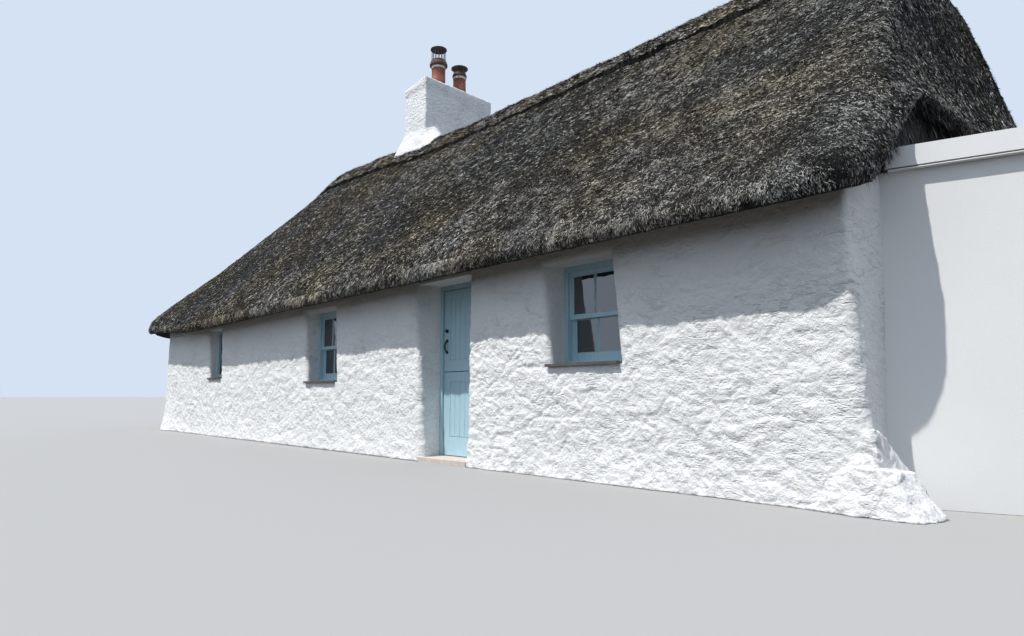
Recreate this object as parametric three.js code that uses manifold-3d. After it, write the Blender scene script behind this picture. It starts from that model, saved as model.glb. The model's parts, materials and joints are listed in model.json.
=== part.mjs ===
// A single-storey thatched cottage with lime-washed rubble walls, a stable door and a flat-roofed wing.
// Units are millimetres. +X runs along the front to the right, +Y goes back, +Z is up.
// The origin is the middle of the cottage's plan, at ground level.

import * as THREE from 'three';
import { ConvexGeometry } from 'three/addons/geometries/ConvexGeometry.js';
import { mergeVertices } from 'three/addons/utils/BufferGeometryUtils.js';
import Module from 'manifold-3d';

// Walls and floor
const LENGTH = 15100;
const DEPTH = 5400;
const WALL = 600;
const FLOOR_TOP = 50;
const WALL_HEAD = 2050;
const LEFT_RISE = 140;
const GAP = 0.3;

const X_LEFT = -LENGTH / 2;
const X_RIGHT = LENGTH / 2;
const Y_FRONT = -DEPTH / 2;
const Y_BACK = DEPTH / 2;

// Thatch
const EAVES_OVERHANG = 350;
const LEFT_OVERHANG = 620;
const RIGHT_OVERHANG = 120;
const EAVES_TOP = 2200;
const EAVES_LIP = 1945;
const RIDGE_TOP = 5310;
const RIDGE_RISE = 250;
const LEFT_HIP_FOOT = 2130;
const LEFT_HIP_SLOPE = 1.22;
const LEFT_LIP = 1990;
const LEFT_SOFFIT_SLOPE = 1.15;
const GABLE_LIP = 2820;
const GABLE_HEAD = 2856;
const GABLE_SOFFIT_SLOPE = 1.3;
const SOFFIT_SLOPE = 0.3;
const ATTIC_SLOPE = 1.0;
const HIP_BLEND = 260;
const LEFT_HIP_BLENDS = [150, 1150];
const LEFT_HIP_RUN = 1900;
const NOSE = 40;
const LEFT_CORNER_RADIUS = 700;
const RIGHT_CORNER_RADIUS = 450;
const FRONT_WEAR = 160;
const RIGHT_WEAR = 420;
const WEAR_DROP = 0.62;
const SWELL = 22;

// Ridge cap
const CAP_LEFT = -5800;
const CAP_RIGHT = 6650;
const CAP_HALF_WIDTH = 480;
const CAP_CREST = 50;
const CAP_FALL = 1.15;
const CAP_ROUNDING = 150;
const CAP_LOW = 4050;

// Chimney
const STACK_X = -1525;
const STACK_Y = 580;
const STACK_WIDTH = 730;
const STACK_DEPTH = 1560;
const STACK_TOP = { frontLeft: 6505, frontRight: 6600, backLeft: 6505, backRight: 6540 };
const SKIRT_HEIGHT = 400;
const SKIRT_SPREAD = 300;
const SKIRT_FRONT_SPREAD = 120;
const CAP_INSET = 35;
const POT_BASE = 6660;
const POT_SHIFT = 20;
const POT_WALL = 25;
const SLEEVE_WALL = 8;
const POTS = [
  {
    side: 'front', y: 326, radius: 134, height: 525, rimRadius: 172, rimHeight: 100,
    sleeveRadius: 138, sleeveHeight: 165, capRadius: 158, capEdge: 75, capRise: 50,
  },
  {
    side: 'back', y: 830, radius: 127, height: 440, rimRadius: 142, rimHeight: 80,
    sleeveRadius: 120, sleeveHeight: 50, capRadius: 166, capEdge: 36, capRise: 54,
  },
];

// Door
const DOOR_LEFT = 2575;
const DOOR_WIDTH = 930;
const DOOR_HEIGHT = 1960;
const DOOR_REVEAL = 290;
const DOOR_SPLAY = 100;
const JAMB = 55;
const DOOR_FRAME_DEPTH = 70;
const LEAF_SETBACK = 20;
const LEAF_THICKNESS = 45;
const LEAF_SPLIT = 957;
const HINGE_SIDE_GAP = 5;
const LATCH_SIDE_GAP = 8;
const LEAF_GAP = 8;
const LEAF_FLOOR_GAP = 10;
const STILE = 120;
const PANEL_RECESS = 8;
const KNUCKLE_RADIUS = 8;
const KNUCKLE_OFFSET = 14.5;
const PIN_RADIUS = 4;
const PULL_HEIGHT = 1250;
const PULL_LENGTH = 135;
const PULL_RADIUS = 10;
const KNOB_HEIGHT = 1430;
const STEP_PROJECTION = 30;

// Wing
const WING_ANGLE = THREE.MathUtils.degToRad(17.4);
const WING_START_Y = Y_FRONT + 530;
const WING_LENGTH = 3300;
const WING_DEPTH = 3700;
const WING_WALL = 300;
const WING_WALL_TOP = 2250;
const WING_ROOF_TOP = 2390;
const WING_OVERHANG = 55;
const FASCIA_THICKNESS = 25;
const FASCIA_HEIGHT = 140;

const wasm = await Module();
wasm.setup();

const cottage = new THREE.Group();

const FINISH = {
  limewash: [0xeae9e4, 0.95, 0],
  render: [0xe9ebed, 0.85, 0],
  floor: [0x8d8880, 0.9, 0],
  step: [0xcdb9ac, 0.9, 0],
  thatch: [0x4b4540, 1, 0],
  ridge: [0x58503a, 1, 0],
  paint: [0x9fc3d3, 0.45, 0],
  fascia: [0xe8ecf0, 0.6, 0],
  felt: [0x56585a, 0.95, 0],
  glass: [0x39424a, 0.08, 0],
  slate: [0x3a3c40, 0.7, 0],
  clay: [0xa5563c, 0.8, 0],
  cowl: [0x3c3a39, 0.5, 0.8],
  iron: [0x1b1b1c, 0.5, 0.7],
};

function add(parent, name, geometry, finish, position = [0, 0, 0]) {
  const [color, roughness, metalness] = FINISH[finish];
  const mesh = new THREE.Mesh(geometry, new THREE.MeshStandardMaterial({ color, roughness, metalness }));
  mesh.name = name;
  mesh.position.set(...position);
  parent.add(mesh);
  return mesh;
}

// Solids from geometries, and back

function solid(geometry) {
  const bare = geometry.clone();
  bare.deleteAttribute('normal');
  bare.deleteAttribute('uv');
  const merged = mergeVertices(bare, 1e-3);
  const vertProperties = new Float32Array(merged.attributes.position.array);
  const triVerts = new Uint32Array(merged.index.array);
  return new wasm.Manifold(new wasm.Mesh({ numProp: 3, vertProperties, triVerts }));
}

function geometryOf(manifold) {
  const mesh = manifold.getMesh();
  const geometry = new THREE.BufferGeometry();
  geometry.setAttribute('position', new THREE.Float32BufferAttribute(mesh.vertProperties, 3));
  geometry.setIndex(new THREE.Uint32BufferAttribute(mesh.triVerts, 1));
  geometry.computeVertexNormals();
  return geometry;
}

function boxGeometry([x0, x1], [y0, y1], [z0, z1]) {
  const box = new THREE.BoxGeometry(x1 - x0, y1 - y0, z1 - z0);
  return box.translate((x0 + x1) / 2, (y0 + y1) / 2, (z0 + z1) / 2);
}

function block(x, y, z) {
  return solid(boxGeometry(x, y, z));
}

// A plan outline raised from z0 to z1
function prism(points, z0, z1) {
  const shape = new THREE.Shape(points.map(([x, y]) => new THREE.Vector2(x, y)));
  const geometry = new THREE.ExtrudeGeometry(shape, { depth: z1 - z0, bevelEnabled: false });
  return geometry.translate(0, 0, z0);
}

function hull(points) {
  return new ConvexGeometry(points.map((p) => new THREE.Vector3(...p)));
}

function turned(profile, segments = 20) {
  return new THREE.LatheGeometry(profile.map(([r, z]) => new THREE.Vector2(r, z)), segments).rotateX(Math.PI / 2);
}

// Roof form: heights over the plan

function smoothStep(value, from, to) {
  return THREE.MathUtils.smoothstep(Math.sign(to - from) * value, Math.sign(to - from) * from, Math.sign(to - from) * to);
}

function smoothMin(a, b, blend) {
  const nearness = Math.max(blend - Math.abs(a - b), 0) / blend;
  return Math.min(a, b) - (nearness * nearness * blend) / 4;
}

const EAVES = {
  left: X_LEFT - LEFT_OVERHANG,
  right: X_RIGHT + RIGHT_OVERHANG,
  front: Y_FRONT - EAVES_OVERHANG,
  back: Y_BACK + EAVES_OVERHANG,
};
const HALF_SPAN = EAVES.back;

// Height of the steep right end above its distance from the eaves
const GABLE_CURVE = new THREE.SplineCurve([
  new THREE.Vector2(0, 3000),
  new THREE.Vector2(240, 3600),
  new THREE.Vector2(440, 4600),
  new THREE.Vector2(800, 5030),
  new THREE.Vector2(1120, 5310),
]).getPoints(24);

function gableTop(distance) {
  const last = GABLE_CURVE.length - 1;
  for (let i = 0; i < last; i += 1) {
    const [p, q] = [GABLE_CURVE[i], GABLE_CURVE[i + 1]];
    if (distance <= q.x) return p.y + ((q.y - p.y) * (distance - p.x)) / (q.x - p.x);
  }
  return GABLE_CURVE[last].y + (distance - GABLE_CURVE[last].x);
}

function leftRise(x) {
  return LEFT_RISE * smoothStep(x, X_LEFT + 3000, X_LEFT);
}

function ridgeHeight(x) {
  return RIDGE_TOP + RIDGE_RISE * smoothStep(x, 600, -4500);
}

function thatchTop(x, y) {
  const eaves = EAVES_TOP + leftRise(x);
  const slope = (ridgeHeight(x) + HIP_BLEND / 4 - eaves) / HALF_SPAN;
  const sides = smoothMin(eaves + slope * (y - EAVES.front), eaves + slope * (EAVES.back - y), HIP_BLEND);
  const leftHip = LEFT_HIP_FOOT + LEFT_HIP_SLOPE * (x - EAVES.left);
  const [tight, broad] = LEFT_HIP_BLENDS;
  const blend = tight + (broad - tight) * smoothStep(x, EAVES.left, EAVES.left + LEFT_HIP_RUN);
  const hipped = smoothMin(sides, leftHip, blend);
  return smoothMin(hipped, gableTop(EAVES.right - x), HIP_BLEND);
}

// Long swells of the thatch, which fade out over the plan's outermost edge
function swell(x, y) {
  const long = Math.sin(x / 390 + 0.9 * Math.sin(y / 520)) * Math.cos(y / 330 + x / 1500);
  const broad = Math.sin(x / 910 - y / 600);
  return SWELL * (0.6 * long + 0.4 * broad);
}

// The thatch's top, with its long swells and with its edges worn round: near an eaves line it falls as a
// quarter of an ellipse by a share of the thickness there
function wornTop(x, y) {
  const top = thatchTop(x, y);
  const along = THREE.MathUtils.clamp(1 - (HALF_SPAN - Math.abs(y)) / FRONT_WEAR, 0, 1);
  const end = THREE.MathUtils.clamp(1 - (EAVES.right - x) / RIGHT_WEAR, 0, 1);
  const worn = Math.min(Math.hypot(0.8 * along, end), 1);
  const drop = WEAR_DROP * (top - thatchUnderside(x, y)) * (1 - Math.sqrt(1 - worn * worn));
  return top - drop + swell(x, y) * (1 - worn);
}

function soffit(lip, head, overhang, slope, distance) {
  return Math.max(lip + SOFFIT_SLOPE * distance, head + slope * (distance - overhang));
}

function thatchUnderside(x, y) {
  const rise = leftRise(x);
  const side = (distance) => soffit(EAVES_LIP + rise, WALL_HEAD + rise, EAVES_OVERHANG, ATTIC_SLOPE, distance);
  const left = soffit(LEFT_LIP, WALL_HEAD + LEFT_RISE, LEFT_OVERHANG, LEFT_SOFFIT_SLOPE, x - EAVES.left);
  const right = soffit(GABLE_LIP, GABLE_HEAD, RIGHT_OVERHANG, GABLE_SOFFIT_SLOPE, EAVES.right - x);
  return Math.min(side(y - EAVES.front), side(EAVES.back - y), left, right);
}

// Rounds a corner of the plan: p and q are the distances from the two eaves lines that meet there
function roundCorner(p, q, radius) {
  if (p >= radius || q >= radius) return [p, q];
  const s = (radius - p) / radius;
  const t = (radius - q) / radius;
  return [radius - radius * s * Math.sqrt(1 - (t * t) / 2), radius - radius * t * Math.sqrt(1 - (s * s) / 2)];
}

// A point of the rectangle of eaves lines, grown by a margin, moved to the rounded plan
function roofPlan(x, y, margin) {
  const nearLeft = x < 0;
  const nearFront = y < 0;
  const radius = (nearLeft ? LEFT_CORNER_RADIUS : RIGHT_CORNER_RADIUS) + margin;
  const edgeX = nearLeft ? EAVES.left - margin : EAVES.right + margin;
  const edgeY = nearFront ? EAVES.front - margin : EAVES.back + margin;
  const [p, q] = roundCorner(Math.abs(x - edgeX), Math.abs(y - edgeY), radius);
  return [edgeX + (nearLeft ? p : -p), edgeY + (nearFront ? q : -q)];
}

// Plan lines of the thatch, each at a distance in from an eaves line
const FROM_LEFT = [0, 150, 370, LEFT_OVERHANG, 900, LEFT_OVERHANG + WALL, 1600, 2000, 2400, 2900];
const FROM_RIGHT = [0, 30, RIGHT_OVERHANG, 220, 320, 440, RIGHT_OVERHANG + WALL, 1120, 1500];
const FROM_SIDE = [0, 35, 100, 170, EAVES_OVERHANG, 650, EAVES_OVERHANG + WALL, 1270, 1600, 1930, 2260, 2550, 2850];
const MIDDLE_STEPS = 26;

function gridX() {
  const left = FROM_LEFT.map((d) => EAVES.left + d);
  const right = FROM_RIGHT.map((d) => EAVES.right - d).reverse();
  const start = left[left.length - 1];
  const step = (right[0] - start) / (MIDDLE_STEPS + 1);
  const middle = Array.from({ length: MIDDLE_STEPS }, (_, i) => start + step * (i + 1));
  return [...left, ...middle, ...right];
}

function gridY() {
  const front = FROM_SIDE.map((d) => EAVES.front + d);
  return [...front, 0, ...front.map((y) => -y).reverse()];
}

// A closed body between two height functions over the roof's plan, with an optional rounded nose
function slab(top, bottom, margin, nose) {
  const xs = gridX();
  const ys = gridY();
  const positions = [];
  const index = [];
  const rim = [];
  const lastX = xs.length - 1;
  const lastY = ys.length - 1;
  xs.forEach((_, i) => i < lastX && rim.push([i, 0]));
  ys.forEach((_, j) => j < lastY && rim.push([lastX, j]));
  for (let i = lastX; i > 0; i -= 1) rim.push([i, lastY]);
  for (let j = lastY; j > 0; j -= 1) rim.push([0, j]);
  const at = (i, j, layer) => layer * xs.length * ys.length + j * xs.length + i;
  for (const height of [top, bottom]) {
    for (const y of ys) {
      for (const x of xs) {
        const [px, py] = roofPlan(x, y, margin);
        positions.push(px, py, height(px, py));
      }
    }
  }
  for (let j = 0; j < lastY; j += 1) {
    for (let i = 0; i < lastX; i += 1) {
      const corners = [[i, j], [i + 1, j], [i + 1, j + 1], [i, j + 1]];
      const alongHip = (xs[i] < 0) === (ys[j] < 0);
      const turns = alongHip ? [[0, 1, 2], [0, 2, 3]] : [[0, 1, 3], [1, 2, 3]];
      for (const turn of turns) {
        const [a, b, c] = turn.map((k) => corners[k]);
        index.push(at(...a, 0), at(...b, 0), at(...c, 0));
        index.push(at(...a, 1), at(...c, 1), at(...b, 1));
      }
    }
  }
  const noseStart = positions.length / 3;
  if (nose > 0) {
    for (const [i, j] of rim) {
      const [x, y] = roofPlan(xs[i], ys[j], margin);
      const reach = (value, low, high) => (value <= low ? value - nose : value >= high ? value + nose : value);
      const [px, py] = roofPlan(reach(xs[i], xs[0], xs[lastX]), reach(ys[j], ys[0], ys[lastY]), margin + nose);
      positions.push(px, py, bottom(x, y) + 0.4 * (top(x, y) - bottom(x, y)));
    }
  }
  rim.forEach(([i, j], k) => {
    const next = (k + 1) % rim.length;
    const [upper, upperNext] = [at(i, j, 0), at(...rim[next], 0)];
    const [lower, lowerNext] = [at(i, j, 1), at(...rim[next], 1)];
    if (nose > 0) {
      const [mid, midNext] = [noseStart + k, noseStart + next];
      index.push(upper, mid, midNext, upper, midNext, upperNext);
      index.push(mid, lower, lowerNext, mid, lowerNext, midNext);
    } else {
      index.push(upper, lower, lowerNext, upper, lowerNext, upperNext);
    }
  });
  const geometry = new THREE.BufferGeometry();
  geometry.setAttribute('position', new THREE.Float32BufferAttribute(positions, 3));
  geometry.setIndex(index);
  return solid(geometry);
}

const thatchBody = slab(wornTop, thatchUnderside, 0, NOSE);
const aboveSoffit = slab(() => 9000, (x, y) => thatchUnderside(x, y) - GAP, 0, 0);
const belowThatch = slab((x, y) => wornTop(x, y) + GAP, () => -1000, 0, 0);

// Chimney

const STACK_SIDES = [STACK_X - STACK_WIDTH / 2, STACK_X + STACK_WIDTH / 2];
const STACK_ENDS = [STACK_Y - STACK_DEPTH / 2, STACK_Y + STACK_DEPTH / 2];

// The corners of the stack's plan, set in by a distance, each with the height of the top there
function stackCorners(inset) {
  const [left, right] = [STACK_SIDES[0] + inset, STACK_SIDES[1] - inset];
  const [front, back] = [STACK_ENDS[0] + inset, STACK_ENDS[1] - inset];
  return [
    [left, front, STACK_TOP.frontLeft], [right, front, STACK_TOP.frontRight],
    [right, back, STACK_TOP.backRight], [left, back, STACK_TOP.backLeft],
  ];
}

function shaft(margin) {
  const corners = stackCorners(-margin);
  return solid(hull([...corners, ...corners.map(([x, y]) => [x, y, FLOOR_TOP])]));
}

// Sloping mortar between the stack and the thatch, parallel to both slopes
function skirt(margin) {
  const points = [];
  const ring = (spread, frontSpread, rise) => {
    for (const x of [STACK_SIDES[0] - spread, STACK_SIDES[1] + spread]) {
      for (const y of [STACK_ENDS[0] - frontSpread, 0, STACK_ENDS[1] + spread]) {
        points.push([x, y, thatchTop(x, y) + rise]);
      }
    }
  };
  ring(margin, margin, SKIRT_HEIGHT + margin);
  ring(SKIRT_SPREAD + margin, SKIRT_FRONT_SPREAD + margin, margin + CAP_CREST);
  ring(SKIRT_SPREAD + margin, SKIRT_FRONT_SPREAD + margin, -200);
  return solid(hull(points));
}

// The mortar cap on the stack's top, set in from its faces and sloping up to the pots
function flaunching() {
  const edge = stackCorners(CAP_INSET).flatMap(([x, y, z]) => [[x, y, z - 20], [x, y, z + 20]]);
  const bed = stackCorners(CAP_INSET + 80).map(([x, y]) => [x, y, POT_BASE]);
  return solid(hull([...edge, ...bed]));
}

function addPot({ side, y, radius, height, rimRadius, rimHeight }) {
  const bore = radius - POT_WALL;
  const profile = [
    [bore, 0], [radius + 12, 0], [radius, 60], [radius - 4, height - rimHeight - 12],
    [rimRadius, height - rimHeight], [rimRadius, height - rimHeight / 2],
    [rimRadius - 10, height - rimHeight / 2], [rimRadius - 10, height], [bore, height], [bore, 0],
  ];
  add(cottage, `${side}_pot`, turned(profile), 'clay', [STACK_X + POT_SHIFT, y, POT_BASE]);
}

// A cap on a sleeve that stands on the pot's rim
function addCowl({ side, y, height, sleeveRadius, sleeveHeight, capRadius, capEdge, capRise }) {
  const bore = sleeveRadius - SLEEVE_WALL;
  const capTop = sleeveHeight + capEdge + capRise;
  const profile = [
    [0, sleeveHeight], [bore, sleeveHeight], [bore, 0], [sleeveRadius, 0], [sleeveRadius, sleeveHeight],
    [capRadius, sleeveHeight], [capRadius, sleeveHeight + capEdge], [capRadius * 0.8, capTop - capRise * 0.25],
    [0, capTop],
  ];
  add(cottage, `${side}_cowl`, turned(profile), 'cowl', [STACK_X + POT_SHIFT, y, POT_BASE + height + GAP]);
}

function addChimney() {
  const stack = shaft(0).add(skirt(0).subtract(belowThatch)).add(flaunching());
  add(cottage, 'chimney_stack', geometryOf(stack), 'limewash');
  for (const pot of POTS) {
    addPot(pot);
    addCowl(pot);
  }
}

addChimney();

// Roof

// The cap's top over the plan: a rounded crest with straight falls
function capTop(x, y) {
  const fall = Math.hypot(CAP_FALL * y, CAP_ROUNDING) - CAP_ROUNDING;
  return thatchTop(x, 0) + CAP_CREST - fall;
}

function addRoof() {
  const thatch = thatchBody.subtract(shaft(GAP));
  add(cottage, 'thatch_roof', geometryOf(thatch), 'thatch');
  const sections = [];
  for (const x of [CAP_LEFT, ...gridX().filter((value) => value > CAP_LEFT + 50 && value < CAP_RIGHT - 50), CAP_RIGHT]) {
    const outline = [1, 0.6, 0.25, 0, -0.25, -0.6, -1].map((side) => {
      const y = side * CAP_HALF_WIDTH;
      return [x, y, capTop(x, y)];
    });
    sections.push([[x, -CAP_HALF_WIDTH, CAP_LOW], [x, CAP_HALF_WIDTH, CAP_LOW], ...outline]);
  }
  const cap = loft(sections).subtract(belowThatch).subtract(skirt(GAP)).subtract(shaft(GAP));
  add(cottage, 'ridge_cap', geometryOf(cap), 'ridge');
}

// A closed body through a row of like outlines, each given from low y round to high y
function loft(sections) {
  const count = sections[0].length;
  const positions = sections.flat(2);
  const index = [];
  const at = (s, k) => s * count + (k % count);
  for (let s = 0; s < sections.length - 1; s += 1) {
    for (let k = 0; k < count; k += 1) {
      index.push(at(s, k), at(s, k + 1), at(s + 1, k + 1), at(s, k), at(s + 1, k + 1), at(s + 1, k));
    }
  }
  for (let k = 1; k < count - 1; k += 1) {
    index.push(at(0, 0), at(0, k + 1), at(0, k));
    index.push(at(sections.length - 1, 0), at(sections.length - 1, k), at(sections.length - 1, k + 1));
  }
  const geometry = new THREE.BufferGeometry();
  geometry.setAttribute('position', new THREE.Float32BufferAttribute(positions, 3));
  geometry.setIndex(index);
  return solid(geometry);
}

addRoof();

// Windows: each in a group at the middle of its sill line on the wall's outer face, facing along -Y

const FRAME_FACE = 50;
const FRAME_DEPTH = 110;
const SASH_FACE = 40;
const SASH_THICKNESS = 36;
const GLASS_THICKNESS = 6;
const SILL_THICKNESS = 25;
const SILL_NOSING = 40;
const SILL_LEFT_INSET = 20;
const SILL_RIGHT_NOSING = 25;

const WINDOWS = [
  { name: 'window_1', x: 7550 - 11985, sill: 1080, width: 560, height: 890, reveal: 160, splay: 110, sashes: false },
  { name: 'window_2', x: 7550 - 7605, sill: 945, width: 740, height: 1005, reveal: 200, splay: 200, sashes: true },
  { name: 'window_3', x: 7550 - 2485, sill: 1017, width: 740, height: 925, reveal: 240, splay: 120, sashes: true },
];
const BACK_WINDOWS = [
  { name: 'back_window_1', x: 4200, sill: 1020, width: 740, height: 925, reveal: 240, splay: 120 },
  { name: 'back_window_2', x: -4300, sill: 1020, width: 740, height: 925, reveal: 240, splay: 120 },
];

// The hole in plan: straight on one side, splayed outwards on the other, square behind the frame
function openingPlan({ width, reveal, splay }) {
  const half = width / 2;
  const outer = 400;
  const far = half + splay * (1 + outer / reveal);
  return [[-half, -outer], [far, -outer], [half, reveal], [half, WALL + 200], [-half, WALL + 200]];
}

function windowGroup(window, backwards) {
  const group = new THREE.Group();
  group.position.set(window.x, backwards ? Y_BACK : Y_FRONT, window.sill);
  group.rotation.z = backwards ? Math.PI : 0;
  group.updateMatrixWorld();
  return group;
}

function windowHole(window, backwards) {
  const low = backwards ? 0 : -SILL_THICKNESS;
  const hole = prism(openingPlan(window), low, window.height);
  return solid(hole.applyMatrix4(windowGroup(window, backwards).matrixWorld));
}

// A rectangular ring standing in the XZ plane, its bottom member as deep as `foot`
function ring(width, height, face, foot, y0, y1, z0) {
  const half = width / 2;
  const outer = block([-half, half], [y0, y1], [z0, z0 + height]);
  const inner = block([-half + face, half - face], [y0 - 10, y1 + 10], [z0 + foot, z0 + height - face]);
  return geometryOf(outer.subtract(inner));
}

function pane(width, height, y, z0) {
  return boxGeometry([-width / 2, width / 2], [y, y + GLASS_THICKNESS], [z0, z0 + height]);
}

function addSill(group, { name, width, reveal, splay }) {
  const half = width / 2;
  const inner = half - GAP;
  const right = half + splay;
  const outline = [
    [-half + SILL_LEFT_INSET, -SILL_NOSING], [right + SILL_RIGHT_NOSING, -SILL_NOSING],
    [right + SILL_RIGHT_NOSING, -GAP], [right - 1, -GAP], [inner, reveal],
    [inner, reveal + FRAME_DEPTH], [-inner, reveal + FRAME_DEPTH], [-inner, -GAP], [-half + SILL_LEFT_INSET, -GAP],
  ];
  add(group, `${name}_sill`, prism(outline, -SILL_THICKNESS + GAP, -GAP), 'slate');
}

// A fixed light: one frame and one sheet of glass
function addFixedLight(group, window) {
  const { name, width, height, reveal } = window;
  const w = width - 2 * GAP;
  const h = height - 2 * GAP;
  add(group, `${name}_frame`, ring(w, h, FRAME_FACE, FRAME_FACE + 20, reveal, reveal + 70, GAP), 'paint');
  const glassWidth = w - 2 * FRAME_FACE - 2 * GAP;
  const glassHeight = h - 2 * FRAME_FACE - 20 - 2 * GAP;
  add(group, `${name}_glass`, pane(glassWidth, glassHeight, reveal + 35, FRAME_FACE + 20 + 2 * GAP), 'glass');
}

// A sliding sash pair: the upper sash runs in front of the lower one
function addSashes(group, window) {
  const { name, width, height, reveal } = window;
  const w = width - 2 * GAP;
  const h = height - 2 * GAP;
  add(group, `${name}_frame`, ring(w, h, FRAME_FACE, 30, reveal, reveal + FRAME_DEPTH, GAP), 'paint');
  const sashWidth = w - 2 * FRAME_FACE - 2 * GAP;
  const clear = h - FRAME_FACE - 30;
  const meeting = 30 + GAP + clear * 0.49;
  const base = 30 + 2 * GAP;
  const top = GAP + h - FRAME_FACE - GAP;
  const rows = [
    { part: 'upper', y: reveal + 22, z0: meeting - SASH_FACE / 2, z1: top, foot: SASH_FACE },
    { part: 'lower', y: reveal + 22 + SASH_THICKNESS + GAP, z0: base, z1: meeting + SASH_FACE / 2, foot: 75 },
  ];
  for (const { part, y, z0, z1, foot } of rows) {
    const sash = ring(sashWidth, z1 - z0, SASH_FACE, foot, y, y + SASH_THICKNESS, z0);
    add(group, `${name}_${part}_sash`, sash, 'paint');
    const glass = pane(sashWidth - 2 * SASH_FACE - 2 * GAP, z1 - z0 - SASH_FACE - foot - 2 * GAP, y + 14, z0 + foot + GAP);
    add(group, `${name}_${part}_glass`, glass, 'glass');
  }
}

function addWindows() {
  for (const window of WINDOWS) {
    const group = windowGroup(window, false);
    cottage.add(group);
    if (window.sashes) addSashes(group, window);
    else addFixedLight(group, window);
    addSill(group, window);
  }
  for (const window of BACK_WINDOWS) {
    const group = windowGroup(window, true);
    cottage.add(group);
    addFixedLight(group, window);
  }
}

addWindows();

// Walls, floor and step

const DOOR_RIGHT = DOOR_LEFT + DOOR_WIDTH;
const DOOR_TOP = FLOOR_TOP + DOOR_HEIGHT;
const HIGH = 4050;

function addWall(name, x, y, low, holes) {
  let wall = block(x, y, [low, HIGH]).subtract(aboveSoffit);
  for (const hole of holes) wall = wall.subtract(hole);
  add(cottage, name, geometryOf(wall), 'limewash');
}

function addWalls() {
  const front = [Y_FRONT, Y_FRONT + WALL];
  const back = [Y_BACK - WALL, Y_BACK];
  const between = [Y_FRONT + WALL, Y_BACK - WALL];
  const holes = WINDOWS.map((window) => windowHole(window, false));
  const [face, inside] = [Y_FRONT - 10, Y_FRONT + DOOR_REVEAL - 40];
  const splay = solid(hull([
    [DOOR_LEFT - DOOR_SPLAY, face, DOOR_TOP], [DOOR_LEFT + 1, face, DOOR_TOP], [DOOR_LEFT + 1, inside, DOOR_TOP],
    [DOOR_LEFT - 1, face, FLOOR_TOP], [DOOR_LEFT + 1, face, FLOOR_TOP], [DOOR_LEFT + 1, inside, FLOOR_TOP],
  ]));
  addWall('front_wall_left', [X_LEFT, DOOR_LEFT], front, 0, [...holes.slice(0, 2), splay]);
  addWall('front_wall_right', [DOOR_RIGHT, X_RIGHT], front, 0, holes.slice(2));
  addWall('front_wall_over_door', [DOOR_LEFT, DOOR_RIGHT], front, DOOR_TOP, []);
  addWall('back_wall', [X_LEFT, X_RIGHT], back, 0, BACK_WINDOWS.map((window) => windowHole(window, true)));
  addWall('left_end_wall', [X_LEFT, X_LEFT + WALL], between, 0, []);
  addWall('right_gable_wall', [X_RIGHT - WALL, X_RIGHT], between, 0, []);
  add(cottage, 'floor_slab', boxGeometry([X_LEFT + WALL, X_RIGHT - WALL], between, [0, FLOOR_TOP]), 'floor');
  const stepY = [Y_FRONT - STEP_PROJECTION, Y_FRONT + WALL];
  add(cottage, 'door_step', boxGeometry([DOOR_LEFT, DOOR_RIGHT], stepY, [0, FLOOR_TOP]), 'step');
}

addWalls();

// Stable door: its group stands on the threshold at the hinge axis

const LEAF_WIDTH = DOOR_WIDTH - 2 * JAMB - 2 * GAP - HINGE_SIDE_GAP - LATCH_SIDE_GAP;
const HINGE_X = DOOR_RIGHT - GAP - JAMB - HINGE_SIDE_GAP / 2;
const LEAF_FACE = Y_FRONT + DOOR_REVEAL + LEAF_SETBACK;
const HINGE_Y = LEAF_FACE + LEAF_THICKNESS + KNUCKLE_OFFSET;
const FRAME_HEAD = DOOR_HEIGHT - GAP - JAMB;
const LOWER_LEAF = { ends: [LEAF_FLOOR_GAP, LEAF_SPLIT - LEAF_GAP / 2], rails: [210, 110] };
const UPPER_LEAF = { ends: [LEAF_SPLIT + LEAF_GAP / 2, FRAME_HEAD - LEAF_GAP], rails: [130, 100] };
const HINGE_HEIGHTS = [...LOWER_LEAF.ends, ...UPPER_LEAF.ends].map((z, i) => (i % 2 === 0 ? z + 130 : z - 190));
const KNUCKLE_LENGTH = 60;

function cylinder(radius, z0, z1) {
  const geometry = new THREE.CylinderGeometry(radius, radius, z1 - z0, 16).rotateX(Math.PI / 2);
  return solid(geometry.translate(0, 0, (z0 + z1) / 2));
}

// A leaf with a panel sunk in both faces between its stiles and its bottom and top rails
function leaf({ ends: [z0, z1], rails }, heights) {
  const right = -HINGE_SIDE_GAP / 2;
  const left = right - LEAF_WIDTH;
  const outside = -KNUCKLE_OFFSET - LEAF_THICKNESS;
  let body = block([left, right], [outside, -KNUCKLE_OFFSET], [z0, z1]);
  const panelX = [left + STILE, right - STILE];
  const panelZ = [z0 + rails[0], z1 - rails[1]];
  for (const y of [outside, -KNUCKLE_OFFSET]) {
    body = body.subtract(block(panelX, [y - PANEL_RECESS, y + PANEL_RECESS], panelZ));
  }
  for (const z of heights) {
    const strap = block([right - 260, 0], [-KNUCKLE_OFFSET - PANEL_RECESS - 2, -KNUCKLE_RADIUS + 2], [z + 10, z + KNUCKLE_LENGTH - 10]);
    const knuckle = cylinder(KNUCKLE_RADIUS, z, z + KNUCKLE_LENGTH);
    body = body.add(strap).add(knuckle);
  }
  for (const z of heights) body = body.subtract(cylinder(PIN_RADIUS + GAP, z - 5, z + KNUCKLE_LENGTH - 10));
  return geometryOf(body);
}

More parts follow.
